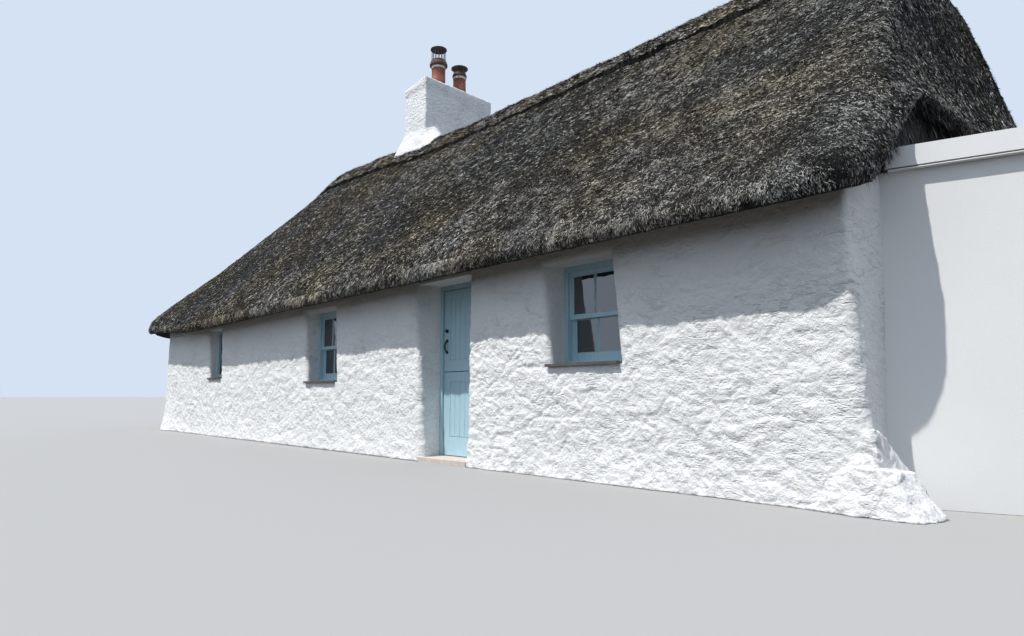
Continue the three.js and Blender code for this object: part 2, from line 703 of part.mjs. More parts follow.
function doorFrame() {
  const right = HINGE_SIDE_GAP / 2 + JAMB;
  const left = right - DOOR_WIDTH + 2 * GAP;
  const front = Y_FRONT + DOOR_REVEAL - HINGE_Y;
  const back = front + DOOR_FRAME_DEPTH;
  let frame = block([left, right], [front, back], [GAP, DOOR_HEIGHT - GAP]);
  frame = frame.subtract(block([left + JAMB, right - JAMB], [front - 10, back + 10], [-10, FRAME_HEAD]));
  for (const z of HINGE_HEIGHTS) {
    const shelf = block([-KNUCKLE_RADIUS, right - 10], [back, KNUCKLE_RADIUS], [z - 14, z - GAP]);
    const tail = block([HINGE_SIDE_GAP / 2, right - 10], [back - 5, KNUCKLE_RADIUS], [z - 14, z - GAP]);
    frame = frame.add(tail).add(shelf).add(cylinder(PIN_RADIUS, z - 14, z + KNUCKLE_LENGTH - 12));
  }
  return geometryOf(frame);
}

function addDoor() {
  const door = new THREE.Group();
  door.position.set(HINGE_X, HINGE_Y, FLOOR_TOP);
  cottage.add(door);
  add(door, 'door_frame', doorFrame(), 'paint');
  add(door, 'door_lower_leaf', leaf(LOWER_LEAF, HINGE_HEIGHTS.slice(0, 2)), 'paint');
  add(door, 'door_upper_leaf', leaf(UPPER_LEAF, HINGE_HEIGHTS.slice(2)), 'paint');
  const face = -KNUCKLE_OFFSET - LEAF_THICKNESS - GAP;
  const handleX = -HINGE_SIDE_GAP / 2 - LEAF_WIDTH + STILE / 2;
  const bow = new THREE.CatmullRomCurve3([
    new THREE.Vector3(handleX, face - 10, PULL_HEIGHT - PULL_LENGTH / 2),
    new THREE.Vector3(handleX, face - 32, PULL_HEIGHT - PULL_LENGTH / 4),
    new THREE.Vector3(handleX, face - 38, PULL_HEIGHT),
    new THREE.Vector3(handleX, face - 32, PULL_HEIGHT + PULL_LENGTH / 4),
    new THREE.Vector3(handleX, face - 10, PULL_HEIGHT + PULL_LENGTH / 2),
  ]);
  const section = new THREE.Shape();
  section.absarc(0, 0, PULL_RADIUS, 0, Math.PI * 2);
  const grip = { steps: 12, curveSegments: 8, extrudePath: bow, bevelEnabled: false };
  let pull = solid(new THREE.ExtrudeGeometry(section, grip));
  for (const z of [PULL_HEIGHT - PULL_LENGTH / 2, PULL_HEIGHT + PULL_LENGTH / 2]) {
    pull = pull.add(solid(new THREE.CylinderGeometry(16, 18, 12, 16).translate(handleX, face - 6, z)));
  }
  add(door, 'door_pull', geometryOf(pull), 'iron');
  const knob = new THREE.LatheGeometry([[0, 0], [22, 0], [22, 5], [12, 8], [12, 12], [20, 17], [18, 25], [0, 28]]
    .map(([r, h]) => new THREE.Vector2(r, h)), 20);
  add(door, 'door_knob', knob.rotateX(Math.PI), 'iron', [handleX, face, KNOB_HEIGHT]);
}

addDoor();

// Flat-roofed wing: its group stands where its front wall meets the gable, turned back by WING_ANGLE

function addWing() {
  const wing = new THREE.Group();
  wing.position.set(X_RIGHT, WING_START_Y, 0);
  wing.rotation.z = WING_ANGLE;
  wing.updateMatrixWorld();
  cottage.add(wing);
  const house = boxGeometry([-X_RIGHT, X_RIGHT + GAP], [-9000, 9000], [-100, 9000]);
  const gable = solid(house.applyMatrix4(wing.matrixWorld.clone().invert()));
  const start = -2000;
  const walls = {
    front: [[start, WING_LENGTH], [0, WING_WALL]],
    back: [[start, WING_LENGTH], [WING_DEPTH - WING_WALL, WING_DEPTH]],
    end: [[WING_LENGTH - WING_WALL, WING_LENGTH], [WING_WALL + GAP, WING_DEPTH - WING_WALL - GAP]],
  };
  for (const [side, [x, y]] of Object.entries(walls)) {
    const wall = block(x, y, [0, WING_WALL_TOP]).subtract(gable);
    add(wing, `extension_${side}_wall`, geometryOf(wall), 'render');
  }
  const reach = WING_OVERHANG - FASCIA_THICKNESS;
  const deck = (grow, z) => block([start, WING_LENGTH + grow], [-grow, WING_DEPTH + grow], z);
  const roof = deck(reach - GAP, [WING_WALL_TOP + GAP, WING_ROOF_TOP]);
  add(wing, 'extension_roof', geometryOf(roof.subtract(gable)), 'felt');
  const fasciaZ = [WING_ROOF_TOP + 10 - FASCIA_HEIGHT, WING_ROOF_TOP + 10];
  const fascia = deck(WING_OVERHANG, fasciaZ).subtract(deck(reach, [0, 9000]));
  add(wing, 'extension_fascia', geometryOf(fascia.subtract(gable)), 'fascia');
  const frontWall = boxGeometry([start, WING_LENGTH], [-GAP, WING_WALL], [-100, WING_WALL_TOP]);
  return solid(frontWall.applyMatrix4(wing.matrixWorld));
}

// Rubble footing round the near front corner: a broad battered lump and a smaller one on it, which falls
// away towards the wing. Each point of an outline has its own height, and is measured from the corner.
const FOOTING = [
  {
    foot: [[-480, 60, 0], [-430, -90, 0], [120, -110, 0], [380, -30, 0], [400, 170, 0], [300, 470, 0]],
    crown: [[-440, 60, 270], [-400, -60, 270], [50, -80, 270], [170, 60, 270], [150, 380, 250]],
  },
  {
    foot: [[-300, 60, 255], [-270, -45, 255], [60, -60, 255], [110, 90, 255], [90, 430, 245]],
    crown: [[-290, 60, 520], [-260, -35, 520], [30, -45, 520], [45, 90, 510], [20, 250, 470], [40, 420, 280]],
  },
];

function addPlinth(wingWall) {
  const lumps = FOOTING.map(({ foot, crown }) => (
    solid(hull([...foot, ...crown].map(([x, y, z]) => [X_RIGHT + x, Y_FRONT + y, z])))
  ));
  const house = block([X_LEFT, X_RIGHT + GAP], [Y_FRONT - GAP, Y_BACK], [-100, HIGH]);
  add(cottage, 'corner_plinth', geometryOf(lumps[0].add(lumps[1]).subtract(house).subtract(wingWall)), 'limewash');
}

addPlinth(addWing());

export default cottage;
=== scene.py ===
"""Looks of the thatched cottage: limewashed rubble, weathered thatch, painted joinery and a smooth end wing.

Units are metres. +X runs along the front to the right, +Y goes back, +Z is up.
"""

import itertools
import json
import math

import bpy
import numpy as np
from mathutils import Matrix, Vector


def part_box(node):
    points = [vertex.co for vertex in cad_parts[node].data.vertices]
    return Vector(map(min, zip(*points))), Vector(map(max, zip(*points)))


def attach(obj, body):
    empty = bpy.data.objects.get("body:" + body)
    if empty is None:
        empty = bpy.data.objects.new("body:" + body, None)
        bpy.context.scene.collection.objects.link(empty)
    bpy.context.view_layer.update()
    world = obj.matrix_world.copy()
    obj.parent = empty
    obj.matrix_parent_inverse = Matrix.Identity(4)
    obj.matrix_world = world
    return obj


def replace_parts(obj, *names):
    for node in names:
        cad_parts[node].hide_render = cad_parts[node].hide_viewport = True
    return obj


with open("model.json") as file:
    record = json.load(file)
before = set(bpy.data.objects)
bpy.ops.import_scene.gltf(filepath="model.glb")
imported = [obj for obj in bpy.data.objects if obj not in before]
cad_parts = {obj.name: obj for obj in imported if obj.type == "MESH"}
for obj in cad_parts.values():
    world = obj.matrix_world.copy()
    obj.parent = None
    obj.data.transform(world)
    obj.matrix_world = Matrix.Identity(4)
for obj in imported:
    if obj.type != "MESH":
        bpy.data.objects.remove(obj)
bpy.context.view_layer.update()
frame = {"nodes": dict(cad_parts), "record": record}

HOUSE = "house"
UPPER_LEAF = "upper_leaf"
LOWER_LEAF = "lower_leaf"

# Driving sizes, read from the frame
WALLS_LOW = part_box("front_wall_left")[0]
WALLS_HIGH = (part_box("front_wall_right")[1].x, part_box("back_wall")[1].y)
X_LEFT, X_RIGHT = WALLS_LOW.x, WALLS_HIGH[0]
Y_FRONT, Y_BACK = WALLS_LOW.y, WALLS_HIGH[1]
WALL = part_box("front_wall_left")[1].y - Y_FRONT
FLOOR_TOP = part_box("floor_slab")[1].z
DOOR_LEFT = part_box("front_wall_left")[1].x
DOOR_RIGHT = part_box("front_wall_right")[0].x

# Arrays

TOLERANCE = 1e-6


def ticks(stops, step):
    """Numbers through all the stops, evenly spaced between each two and at most a step apart."""
    runs = [
        np.linspace(low, high, max(1, math.ceil((high - low) / step)), endpoint=False)
        for low, high in itertools.pairwise(stops)
    ]
    return np.concatenate([*runs, [stops[-1]]])


def stacked(*parts):
    """Arrays and numbers brought to one shape and laid side by side on a new last axis."""
    return np.stack(np.broadcast_arrays(*parts), axis=-1)


def turned(angle, x, y, z):
    """Vectors turned by an angle about the upright axis."""
    sine, cosine = math.sin(angle), math.cos(angle)
    return stacked(x * cosine - y * sine, x * sine + y * cosine, z)


def unit(vectors):
    """Each vector divided by its length."""
    return vectors / np.maximum(np.linalg.norm(vectors, axis=-1, keepdims=True), 1e-9)


def ease(value, low, high):
    """A smooth step: 0 below low, 1 above high, and t * t * (3 - 2 * t) between."""
    t = np.clip((value - low) / (high - low), 0, 1)
    return t * t * (3 - 2 * t)


def hashed(cell, seed):
    """A repeatable number from 0 to 1 for each whole-numbered cell, by mixing the bits of a weighted sum."""
    mixed = cell[..., 0] * 73856093 ^ cell[..., 1] * 19349663 ^ cell[..., 2] * 83492791 ^ seed * 40503
    mixed = ((mixed ^ (mixed >> 13)) * 1274126177) & 0xFFFFFFFF
    return ((mixed ^ (mixed >> 15)) & 0xFFFFFF) / 0x1000000


def noise(points, size, seed=0):
    """Smooth noise from -1 to 1: random numbers on a lattice of that cell size, blended by eased distance."""
    scaled = points / size
    base = np.floor(scaled).astype(np.int64)
    part = scaled - base
    part = part * part * (3 - 2 * part)
    total = np.zeros(points.shape[:-1])
    for corner in itertools.product((0, 1), repeat=3):
        weight = np.prod(np.where(np.array(corner) == 1, part, 1 - part), axis=-1)
        total += weight * hashed(base + corner, seed)
    return 2 * total - 1


def fractal(points, size, octaves, seed=0):
    """Noise summed over octaves, each half as large and half as strong as the last."""
    size = np.array(size, float)
    return sum(noise(points, size / 2**i, seed + i) / 2**i for i in range(octaves))


def cells(points, size, seed):
    """Distances to the nearest two of the scattered cell centres, and the nearest one's own number."""
    scaled = points / size
    base = np.floor(scaled).astype(np.int64)
    first = np.full(points.shape[:-1], 9.0)
    second = first.copy()
    own = np.zeros_like(first)
    for step in itertools.product((-1, 0, 1), repeat=3):
        cell = base + step
        centre = cell + stacked(*(hashed(cell, seed + axis) for axis in range(3)))
        distance = np.linalg.norm(scaled - centre, axis=-1)
        nearer = distance < first
        second = np.where(nearer, first, np.minimum(second, distance))
        own = np.where(nearer, hashed(cell, seed + 3), own)
        first = np.minimum(first, distance)
    return first, second, own


class Surface:
    """Points and faces gathered from grids into one mesh."""

    def __init__(self):
        self.points, self.faces, self.slots, self.count = [], [], [], 0

    def add_points(self, points):
        """Adds an array of points of any shape and returns their numbers in the same shape."""
        flat = np.asarray(points, float).reshape(-1, 3)
        self.points.append(flat)
        numbers = np.arange(self.count, self.count + len(flat)).reshape(np.shape(points)[:-1])
        self.count += len(flat)
        return numbers

    def join(self, numbers, around=False, keep=None, flip=False, slot=0):
        """Quads between the rows and columns of a grid of point numbers; around closes each row on itself."""
        if around:
            numbers = np.concatenate([numbers, numbers[:, :1]], axis=1)
        quads = stacked(numbers[:-1, :-1], numbers[:-1, 1:], numbers[1:, 1:], numbers[1:, :-1])
        quads = quads[keep] if keep is not None else quads.reshape(-1, 4)
        self.face_rows(quads[:, ::-1] if flip else quads, slot)

    def face_rows(self, faces, slot=0):
        """Faces that all have the same number of corners."""
        self.faces.append(np.asarray(faces))
        self.slots.append(np.full(len(faces), slot))

    def grid(self, points, **how):
        """A grid of rows of points, with its quads."""
        numbers = self.add_points(points)
        self.join(numbers, **how)
        return numbers

    def cap(self, loop, flip=False):
        """One face over a closed loop of point numbers."""
        self.face_rows(np.asarray(loop)[None, ::-1 if flip else 1])

    def shell(self, points, flip=False):
        """A grid that goes round on itself, with a face over each end."""
        numbers = self.grid(points, around=True, flip=flip)
        self.cap(numbers[0], flip=not flip)
        self.cap(numbers[-1], flip=flip)

    def build(self, name, body, materials, smooth=True):
        """Makes the mesh object, which rides on the body and takes its finish from the slot."""
        mesh = bpy.data.meshes.new(name)
        points = np.concatenate(self.points)
        corners = np.concatenate([faces.ravel() for faces in self.faces])
        sizes = np.concatenate([np.full(len(faces), faces.shape[1]) for faces in self.faces])
        mesh.vertices.add(len(points))
        mesh.vertices.foreach_set("co", points.astype(np.float32).ravel())
        mesh.loops.add(len(corners))
        mesh.loops.foreach_set("vertex_index", corners.astype(np.int32))
        mesh.polygons.add(len(sizes))
        mesh.polygons.foreach_set("loop_start", (np.cumsum(sizes) - sizes).astype(np.int32))
        mesh.polygons.foreach_set("material_index", np.concatenate(self.slots).astype(np.int32))
        mesh.polygons.foreach_set("use_smooth", np.full(len(sizes), smooth))
        mesh.update(calc_edges=True)
        mesh.validate()
        for material in materials:
            mesh.materials.append(material)
        piece = bpy.data.objects.new(name, mesh)
        bpy.context.scene.collection.objects.link(piece)
        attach(piece, body)
        return piece


# Shader maths


class Value:
    """A shader socket that takes part in Python arithmetic: each operator adds a Math node."""

    def __init__(self, tree, socket):
        self.tree, self.socket = tree, socket

    def math(self, operation, *others, **settings):
        """A Math node on this value and the others."""
        node = self.tree.nodes.new("ShaderNodeMath")
        node.operation = operation
        for key, setting in settings.items():
            setattr(node, key, setting)
        for target, value in zip(node.inputs, (self, *others)):
            if isinstance(value, Value):
                self.tree.links.new(value.socket, target)
            else:
                target.default_value = value
        return Value(self.tree, node.outputs[0])

    def reflected(self, operation, other):
        """The same with the number first."""
        node = self.math(operation, 0.0)
        math_node = node.socket.node
        for link in list(math_node.inputs[0].links):
            self.tree.links.remove(link)
        math_node.inputs[0].default_value = other
        self.tree.links.new(self.socket, math_node.inputs[1])
        return node

    def __add__(self, other):
        return self.math("ADD", other)

    def __sub__(self, other):
        return self.math("SUBTRACT", other)

    def __mul__(self, other):
        return self.math("MULTIPLY", other)

    def __rsub__(self, other):
        return self.reflected("SUBTRACT", other)

    __radd__ = __add__
    __rmul__ = __mul__

    def between(self, low, high):
        """0 below low, 1 above high, even between."""
        return ((self - low) * (1 / (high - low))).math("ADD", 0.0, use_clamp=True)


class Finish:
    """One material: its node tree, its Principled shader and short names for the nodes that it uses."""

    def __init__(self, name, **fixed):
        self.material = bpy.data.materials.new(name)
        self.material.use_nodes = True
        self.tree = self.material.node_tree
        self.shader = self.tree.nodes["Principled BSDF"]
        for key, value in fixed.items():
            self.shader.inputs[key.replace("_", " ")].default_value = value
        self.place = self.node("ShaderNodeTexCoord", output="Object")

    def node(self, kind, settings=None, output=0, **inputs):
        """A node of any type: its settings first, then the values or links of its sockets."""
        node = self.tree.nodes.new(kind)
        for key, setting in (settings or {}).items():
            if key == "stops":
                ramp = node.color_ramp.elements
                while len(ramp) < len(setting):
                    ramp.new(0.5)
                for element, (position, color) in zip(ramp, setting):
                    element.position, element.color = position, (*color, 1)
            else:
                setattr(node, key, setting)
        for key, value in inputs.items():
            socket = node.inputs[int(key[1:])] if key[0] == "i" and key[1:].isdigit() else node.inputs[key]
            if isinstance(value, Value):
                self.tree.links.new(value.socket, socket)
            else:
                socket.default_value = value
        return Value(self.tree, node.outputs[output])

    def stretched(self, scale):
        """Object coordinates multiplied by a scale on each axis."""
        return self.node("ShaderNodeMapping", i0=self.place, Scale=scale)

    def noise(self, scale, detail=3.0, roughness=0.55, vector=None):
        """Noise from 0 to 1, with scale features a metre."""
        vector = vector or self.place
        return self.node("ShaderNodeTexNoise", Vector=vector, Scale=scale, Detail=detail, Roughness=roughness)

    def ramp(self, factor, stops):
        """A colour that follows a factor through the stops."""
        return self.node("ShaderNodeValToRGB", {"stops": stops}, Fac=factor)

    def mix(self, factor, first, second, blend="MIX"):
        """Two colours mixed by a factor."""
        first, second = [c if isinstance(c, Value) else (*c, 1) for c in (first, second)]
        settings = {"data_type": "RGBA", "blend_type": blend}
        return self.node("ShaderNodeMix", settings, output=2, i0=factor, i6=first, i7=second)

    def set(self, **linked):
        """Links shader sockets."""
        for key, value in linked.items():
            self.tree.links.new(value.socket, self.shader.inputs[key.replace("_", " ")])
        return self

    def bump(self, height, distance, strength=1.0):
        """A Bump node on a height, which feeds Normal."""
        self.set(Normal=self.node("ShaderNodeBump", Height=height, Distance=distance, Strength=strength))
        return self


def limewash(name, tint=(0.86, 0.86, 0.85), dirt=(0.50, 0.42, 0.32), rough=1.0):
    """Brushed limewash over rough stone: lumps with sharp valleys where noises cross their middle value, with
    grit, pits and cracks, and faint earth marks, most of them near the ground. The pits and cracks are also
    darkened in the colour as painted shade in these hollows."""
    finish = Finish(name, Roughness=0.92)
    broad = finish.noise(1.3, 4)
    grit = finish.noise(24, 9, 0.7)
    flattened = finish.stretched((1, 1, 1.6))
    lumps = sum(
        (finish.noise(scale, 1, 0.5, flattened) - 0.5).math("ABSOLUTE") * height
        for scale, height in ((6.5, 0.018), (14, 0.010), (30, 0.006))
    )
    cracks = finish.noise(1, 4, 0.6, finish.stretched((3.4, 3.4, 9)))
    crack = 1 - (cracks - 0.5).math("ABSOLUTE").between(0.0, 0.03)
    crack = crack * finish.noise(2.6, 2).between(0.48, 0.6)
    pits = 1 - finish.noise(34, 4, 0.6).between(0.28, 0.4)
    height = finish.node("ShaderNodeSeparateXYZ", Vector=finish.place, output=2)
    low = 1 - (height + broad * 0.5).between(0.1, 0.6)
    marks = finish.noise(3.6, 7, 0.7).between(0.60, 0.72)
    clean = finish.mix(broad.between(0.3, 0.7), tint, tuple(c * 0.96 for c in tint))
    soiled = finish.mix(marks * (low * 0.30 + 0.18), clean, dirt)
    # Pits and cracks pull the colour towards 0.6 of the tint: painted shade in the hollows.
    shaded = (crack * 0.6 + pits * 0.4).math("MINIMUM", 1.0)
    finish.set(Base_Color=finish.mix(shaded * 0.4, soiled, tuple(c * 0.6 for c in tint)))
    relief = lumps + grit * 0.022 - crack * 0.006 - pits * 0.004
    return finish.bump(relief, rough).material


def smooth_render(name, roughness):
    """Nearly even white paint on a float finish or a board, with a fine sandy grain."""
    finish = Finish(name, Roughness=roughness)
    broad = finish.noise(0.8, 3)
    finish.set(Base_Color=finish.mix(broad.between(0.3, 0.7), (0.80, 0.80, 0.79), (0.765, 0.765, 0.76)))
    return finish.bump(finish.noise(260, 3), 0.0015).material


def thatch_bed(name, pale):
    """The close surface between the reed ends: near black as painted shade in the gaps between them, crossed
    by fine paler strokes in two slanting directions, in clumps that are greyer or browner. All its tones are
    multiplied by a paleness."""
    finish = Finish(name, Roughness=0.95, Specular_IOR_Level=0.12)
    strokes = None
    for scale in ((170, 50, 50), (130, 90, 45), (110, 45, 100)):
        layer = finish.noise(1, 3, 0.62, finish.stretched(scale))
        strokes = layer if strokes is None else strokes.math("MAXIMUM", layer)
    clumps = finish.noise(9, 4, 0.65)
    # The near-black lowest stop is painted shade in the gaps between the reed ends.
    stops = [(0.50, (0.0075, 0.007, 0.0065)), (0.62, (0.040, 0.037, 0.032)), (0.76, (0.20, 0.185, 0.155))]
    reed = finish.ramp(strokes * 0.75 + clumps * 0.25, stops)
    broad = finish.noise(0.7, 4)
    cool, tan = (0.88, 0.94, 1.05), (1.05, 0.97, 0.80)
    warm = finish.mix(broad.between(0.40, 0.65), *(tuple(pale * c for c in tint) for tint in (cool, tan)))
    finish.set(Base_Color=finish.mix(1.0, reed, warm, "MULTIPLY"))
    return finish.bump(strokes * 0.6 + clumps * 0.4, 0.03).material


def reed(name, dark, pale):
    """Weathered reed ends of one tone, varied from clump to clump, cooler or warmer in broad patches."""
    finish = Finish(name, Roughness=0.85, Specular_IOR_Level=0.15)
    clump = finish.noise(13, 4, 0.7)
    broad = finish.noise(0.7, 4)
    tone = finish.mix(clump.between(0.35, 0.65), dark, pale)
    warm = finish.mix(broad.between(0.40, 0.65), (0.90, 0.95, 1.04), (1.04, 0.96, 0.80))
    finish.set(Base_Color=finish.mix(1.0, tone, warm, "MULTIPLY"))
    return finish.material


def painted_wood(name, color, wear=0.5):
    """Satin paint on wood: faint brush marks along the grain, and a little paler where it has chalked."""
    finish = Finish(name, Roughness=0.42, Specular_IOR_Level=0.4)
    brush = finish.noise(1, 4, 0.6, finish.stretched((90, 90, 6)))
    broad = finish.noise(3.0, 3)
    chalk = tuple(c + (0.8 - c) * 0.10 * wear for c in color)
    shade = tuple(c * 0.9 for c in color)
    base = finish.mix(broad.between(0.35, 0.65), color, chalk)
    finish.set(Base_Color=finish.mix(brush.between(0.4, 0.62), shade, base))
    finish.set(Roughness=broad * 0.2 + 0.34)
    return finish.bump(brush, 0.0012).material


def clay(name, stops):
    """Fired clay, in patches of the stops' tones."""
    finish = Finish(name, Roughness=0.8)
    finish.set(Base_Color=finish.ramp(finish.noise(9, 4), stops))
    return finish.bump(finish.noise(120, 3), 0.002).material


def metal(name, color, roughness, metallic, patch=None):
    """Weathered metal, with patches of another colour where it has rusted or dulled."""
    finish = Finish(name, Metallic=metallic)
    patches = finish.noise(24, 4)
    patch = patch or tuple(c * 1.6 for c in color)
    finish.set(Base_Color=finish.mix(patches.between(0.5, 0.68), color, patch))
    finish.set(Roughness=patches * 0.25 + (roughness - 0.1))
    return finish.bump(finish.noise(180, 2), 0.0006).material


def stone(name, dark, pale, scale=7.0, roughness=0.85):
    """Cut or worn stone: two tones in clouds, with a fine grain."""
    finish = Finish(name, Roughness=roughness)
    clouds = finish.noise(scale, 5, 0.6)
    grain = finish.noise(150, 3)
    finish.set(Base_Color=finish.mix((clouds * 0.7 + grain * 0.3).between(0.35, 0.65), dark, pale))
    return finish.bump(clouds * 0.5 + grain * 0.5, 0.004).material


def window_glass():
    """Old sheet glass before a dim room, glossy and faintly rippled: its colour is near black and mostly
    opaque, painted shade of the room behind.
    """
    finish = Finish("window_glass", Roughness=0.03, IOR=1.95, Alpha=0.86)
    finish.shader.inputs["Specular IOR Level"].default_value = 0.9
    tone = finish.noise(2.2, 2)
    # Near-black base colours: painted shade of the dim room seen through the glass.
    finish.set(Base_Color=finish.mix(tone, (0.012, 0.016, 0.022), (0.028, 0.033, 0.04)))
    return finish.bump(finish.noise(3.5, 1), 0.004).material


LIMEWASH = limewash("limewash")
CHIMNEY_WASH = limewash("chimney_limewash", (0.86, 0.87, 0.87), (0.40, 0.37, 0.32), 1.3)
SMOOTH_RENDER = smooth_render("smooth_render", 0.85)
THATCH_BED = thatch_bed("thatch_bed", 1.0)
RIDGE_BED = thatch_bed("ridge_bed", 1.7)
REEDS = [
    # The blackest reed tone also paints the shadow line under the ridge cap's edges.
    reed("black_reed_and_ridge_shadow", (0.006, 0.0056, 0.0052), (0.020, 0.0185, 0.0165)),
    reed("reed_brown", (0.032, 0.0285, 0.0235), (0.085, 0.077, 0.063)),
    reed("reed_grey", (0.11, 0.103, 0.089), (0.25, 0.234, 0.203)),
    reed("reed_pale", (0.30, 0.282, 0.243), (0.56, 0.53, 0.465)),
]
BLUE_PAINT = painted_wood("blue_paint", (0.40, 0.585, 0.665))
WHITE_PAINT = smooth_render("white_paint", 0.45)
CLAY_TONES = [(0.30, (0.14, 0.048, 0.034)), (0.52, (0.27, 0.092, 0.060)), (0.72, (0.42, 0.20, 0.15))]
SOOTY_TONES = [(0.30, (0.035, 0.018, 0.014)), (0.55, (0.10, 0.04, 0.03)), (0.75, (0.34, 0.26, 0.23))]
CLAY = clay("clay", CLAY_TONES)
SOOTY_CLAY = clay("sooty_clay", SOOTY_TONES)
COWL_METAL = metal("cowl_metal", (0.035, 0.030, 0.028), 0.55, 0.6, (0.10, 0.055, 0.035))
BLACK_IRON = metal("black_iron", (0.012, 0.012, 0.013), 0.42, 0.5)
SLATE = stone("slate", (0.045, 0.045, 0.048), (0.13, 0.115, 0.10))
STEP_STONE = stone("step_stone", (0.50, 0.42, 0.37), (0.68, 0.60, 0.54))
# Bare stone of the gable wall, its tones darkened past the stone's own as painted shade of the recess under
# the gable thatch.
BARE_STONE_IN_RECESS_SHADE = stone("bare_stone_in_recess_shade", (0.035, 0.026, 0.024), (0.10, 0.075, 0.068))
FLOOR_STONE = stone("floor_stone", (0.20, 0.19, 0.17), (0.34, 0.32, 0.29), 3.0)
ROOF_FELT = stone("roof_felt", (0.05, 0.052, 0.053), (0.10, 0.10, 0.10), 5.0, 0.95)
GLASS = window_glass()

NODE_FINISHES = {
    "floor": FLOOR_STONE,
    "step": STEP_STONE,
    "limewash": LIMEWASH,
    "clay": CLAY,
    "cowl_metal": COWL_METAL,
    "thatch": THATCH_BED,
    "ridge_thatch": RIDGE_BED,
    "blue_paint": BLUE_PAINT,
    "window_glass": GLASS,
    "slate": SLATE,
    "black_iron": BLACK_IRON,
    "smooth_render": SMOOTH_RENDER,
    "roof_felt": ROOF_FELT,
    "white_paint": WHITE_PAINT,
}


def finish_nodes():
    """Gives every CAD node the finish of its record slot."""
    for row in frame["record"]["subparts"]:
        node = frame["nodes"][row["node"]]
        node.data.materials.clear()
        node.data.materials.append(NODE_FINISHES[row["material_slot"]])


finish_nodes()

# Thatch shape

EAVES_OVERHANG = 0.35
LEFT_OVERHANG = 0.62
RIGHT_OVERHANG = 0.12
WALL_HEAD = 2.05
EAVES_TOP = 2.2
EAVES_LIP = 1.945
LEFT_RISE = 0.14
RIDGE_TOP = 5.31
RIDGE_RISE = 0.25
LEFT_HIP_FOOT = 2.13
LEFT_HIP_SLOPE = 1.22
LEFT_HIP_BLENDS = (0.15, 1.15)
LEFT_HIP_RUN = 1.9
LEFT_LIP = 2.05
LEFT_SOFFIT_SLOPE = 1.15
GABLE_LIP = 2.82
GABLE_HEAD = 2.856
GABLE_SOFFIT_SLOPE = 1.3
GABLE_CURVE = [(0, 3.0), (0.24, 3.6), (0.44, 4.6), (0.8, 5.03), (1.12, 5.31)]
SOFFIT_SLOPE = 0.3
ATTIC_SLOPE = 1.0
HIP_BLEND = 0.26
NOSE = 0.04
LEFT_CORNER_RADIUS = 0.7
RIGHT_CORNER_RADIUS = 0.45
SWELL = 0.022

EAVES_LEFT = X_LEFT - LEFT_OVERHANG
EAVES_RIGHT = X_RIGHT + RIGHT_OVERHANG
EAVES_BACK = Y_BACK + EAVES_OVERHANG


def spline(knots, steps):
    """Points on a Catmull-Rom curve through the knots: in each span a cubic whose end slopes are half the
    difference of the neighbouring knots."""
    knots = np.array(knots, float)
    padded = np.concatenate([knots[:1], knots, knots[-1:]])
    place = np.linspace(0, len(knots) - 1, steps)
    span = np.minimum(place.astype(int), len(knots) - 2)
    t = (place - span)[:, None]
    before, start, end, after = (padded[span + k] for k in range(4))
    first, last = (end - before) / 2, (after - start) / 2
    cubic = (2 * start - 2 * end + first + last) * t**3
    return cubic + (3 * end - 3 * start - 2 * first - last) * t**2 + first * t + start


GABLE_LINE = spline(GABLE_CURVE, 25)


def smooth_min(a, b, blend):
    """The smaller of two heights, with the crease where they meet rounded over the blend."""
    near = np.maximum(blend - np.abs(a - b), 0) / blend
    return np.minimum(a, b) - near * near * blend / 4


def left_rise(x):
    """How much higher the eaves are towards the left end, a smooth step over its last three metres."""
    return LEFT_RISE * ease(-x, -(X_LEFT + 3.0), -X_LEFT)


def ridge_height(x):
    """Height of the ridge: a smooth step up towards the left."""
    return RIDGE_TOP + RIDGE_RISE * ease(-x, -0.6, 4.5)


def gable_top(distance):
    """The steep right end: its curve, then a 45 degree slope past the curve's last knot."""
    past = np.maximum(distance - GABLE_LINE[-1, 0], 0)
    return np.interp(distance, GABLE_LINE[:, 0], GABLE_LINE[:, 1]) + past


def thatch_top(x, y):
    """Height of the thatch: the two slopes, the left hip and the right end, each crease rounded."""
    eaves = EAVES_TOP + left_rise(x)
    slope = (ridge_height(x) + HIP_BLEND / 4 - eaves) / EAVES_BACK
    sides = smooth_min(eaves + slope * (y + EAVES_BACK), eaves + slope * (EAVES_BACK - y), HIP_BLEND)
    tight, broad = LEFT_HIP_BLENDS
    blend = tight + (broad - tight) * ease(x, EAVES_LEFT, EAVES_LEFT + LEFT_HIP_RUN)
    hipped = smooth_min(sides, LEFT_HIP_FOOT + LEFT_HIP_SLOPE * (x - EAVES_LEFT), blend)
    return smooth_min(hipped, gable_top(EAVES_RIGHT - x), HIP_BLEND)


def soffit(lip, head, overhang, slope, distance):
    """Height of the underside over one side: a gentle slope in from the lip, then the attic's own slope from
    the wall head."""
    return np.maximum(lip + SOFFIT_SLOPE * distance, head + slope * (distance - overhang))


def thatch_underside(x, y):
    """Height of the thatch's underside: the lowest of its four sides."""
    rise = left_rise(x)
    front, back = (
        soffit(EAVES_LIP + rise, WALL_HEAD + rise, EAVES_OVERHANG, ATTIC_SLOPE, EAVES_BACK + side * y)
        for side in (1, -1)
    )
    left = soffit(LEFT_LIP, WALL_HEAD + LEFT_RISE, LEFT_OVERHANG, LEFT_SOFFIT_SLOPE, x - EAVES_LEFT)
    right = soffit(GABLE_LIP, GABLE_HEAD, RIGHT_OVERHANG, GABLE_SOFFIT_SLOPE, EAVES_RIGHT - x)
    return np.minimum(np.minimum(front, back), np.minimum(left, right))


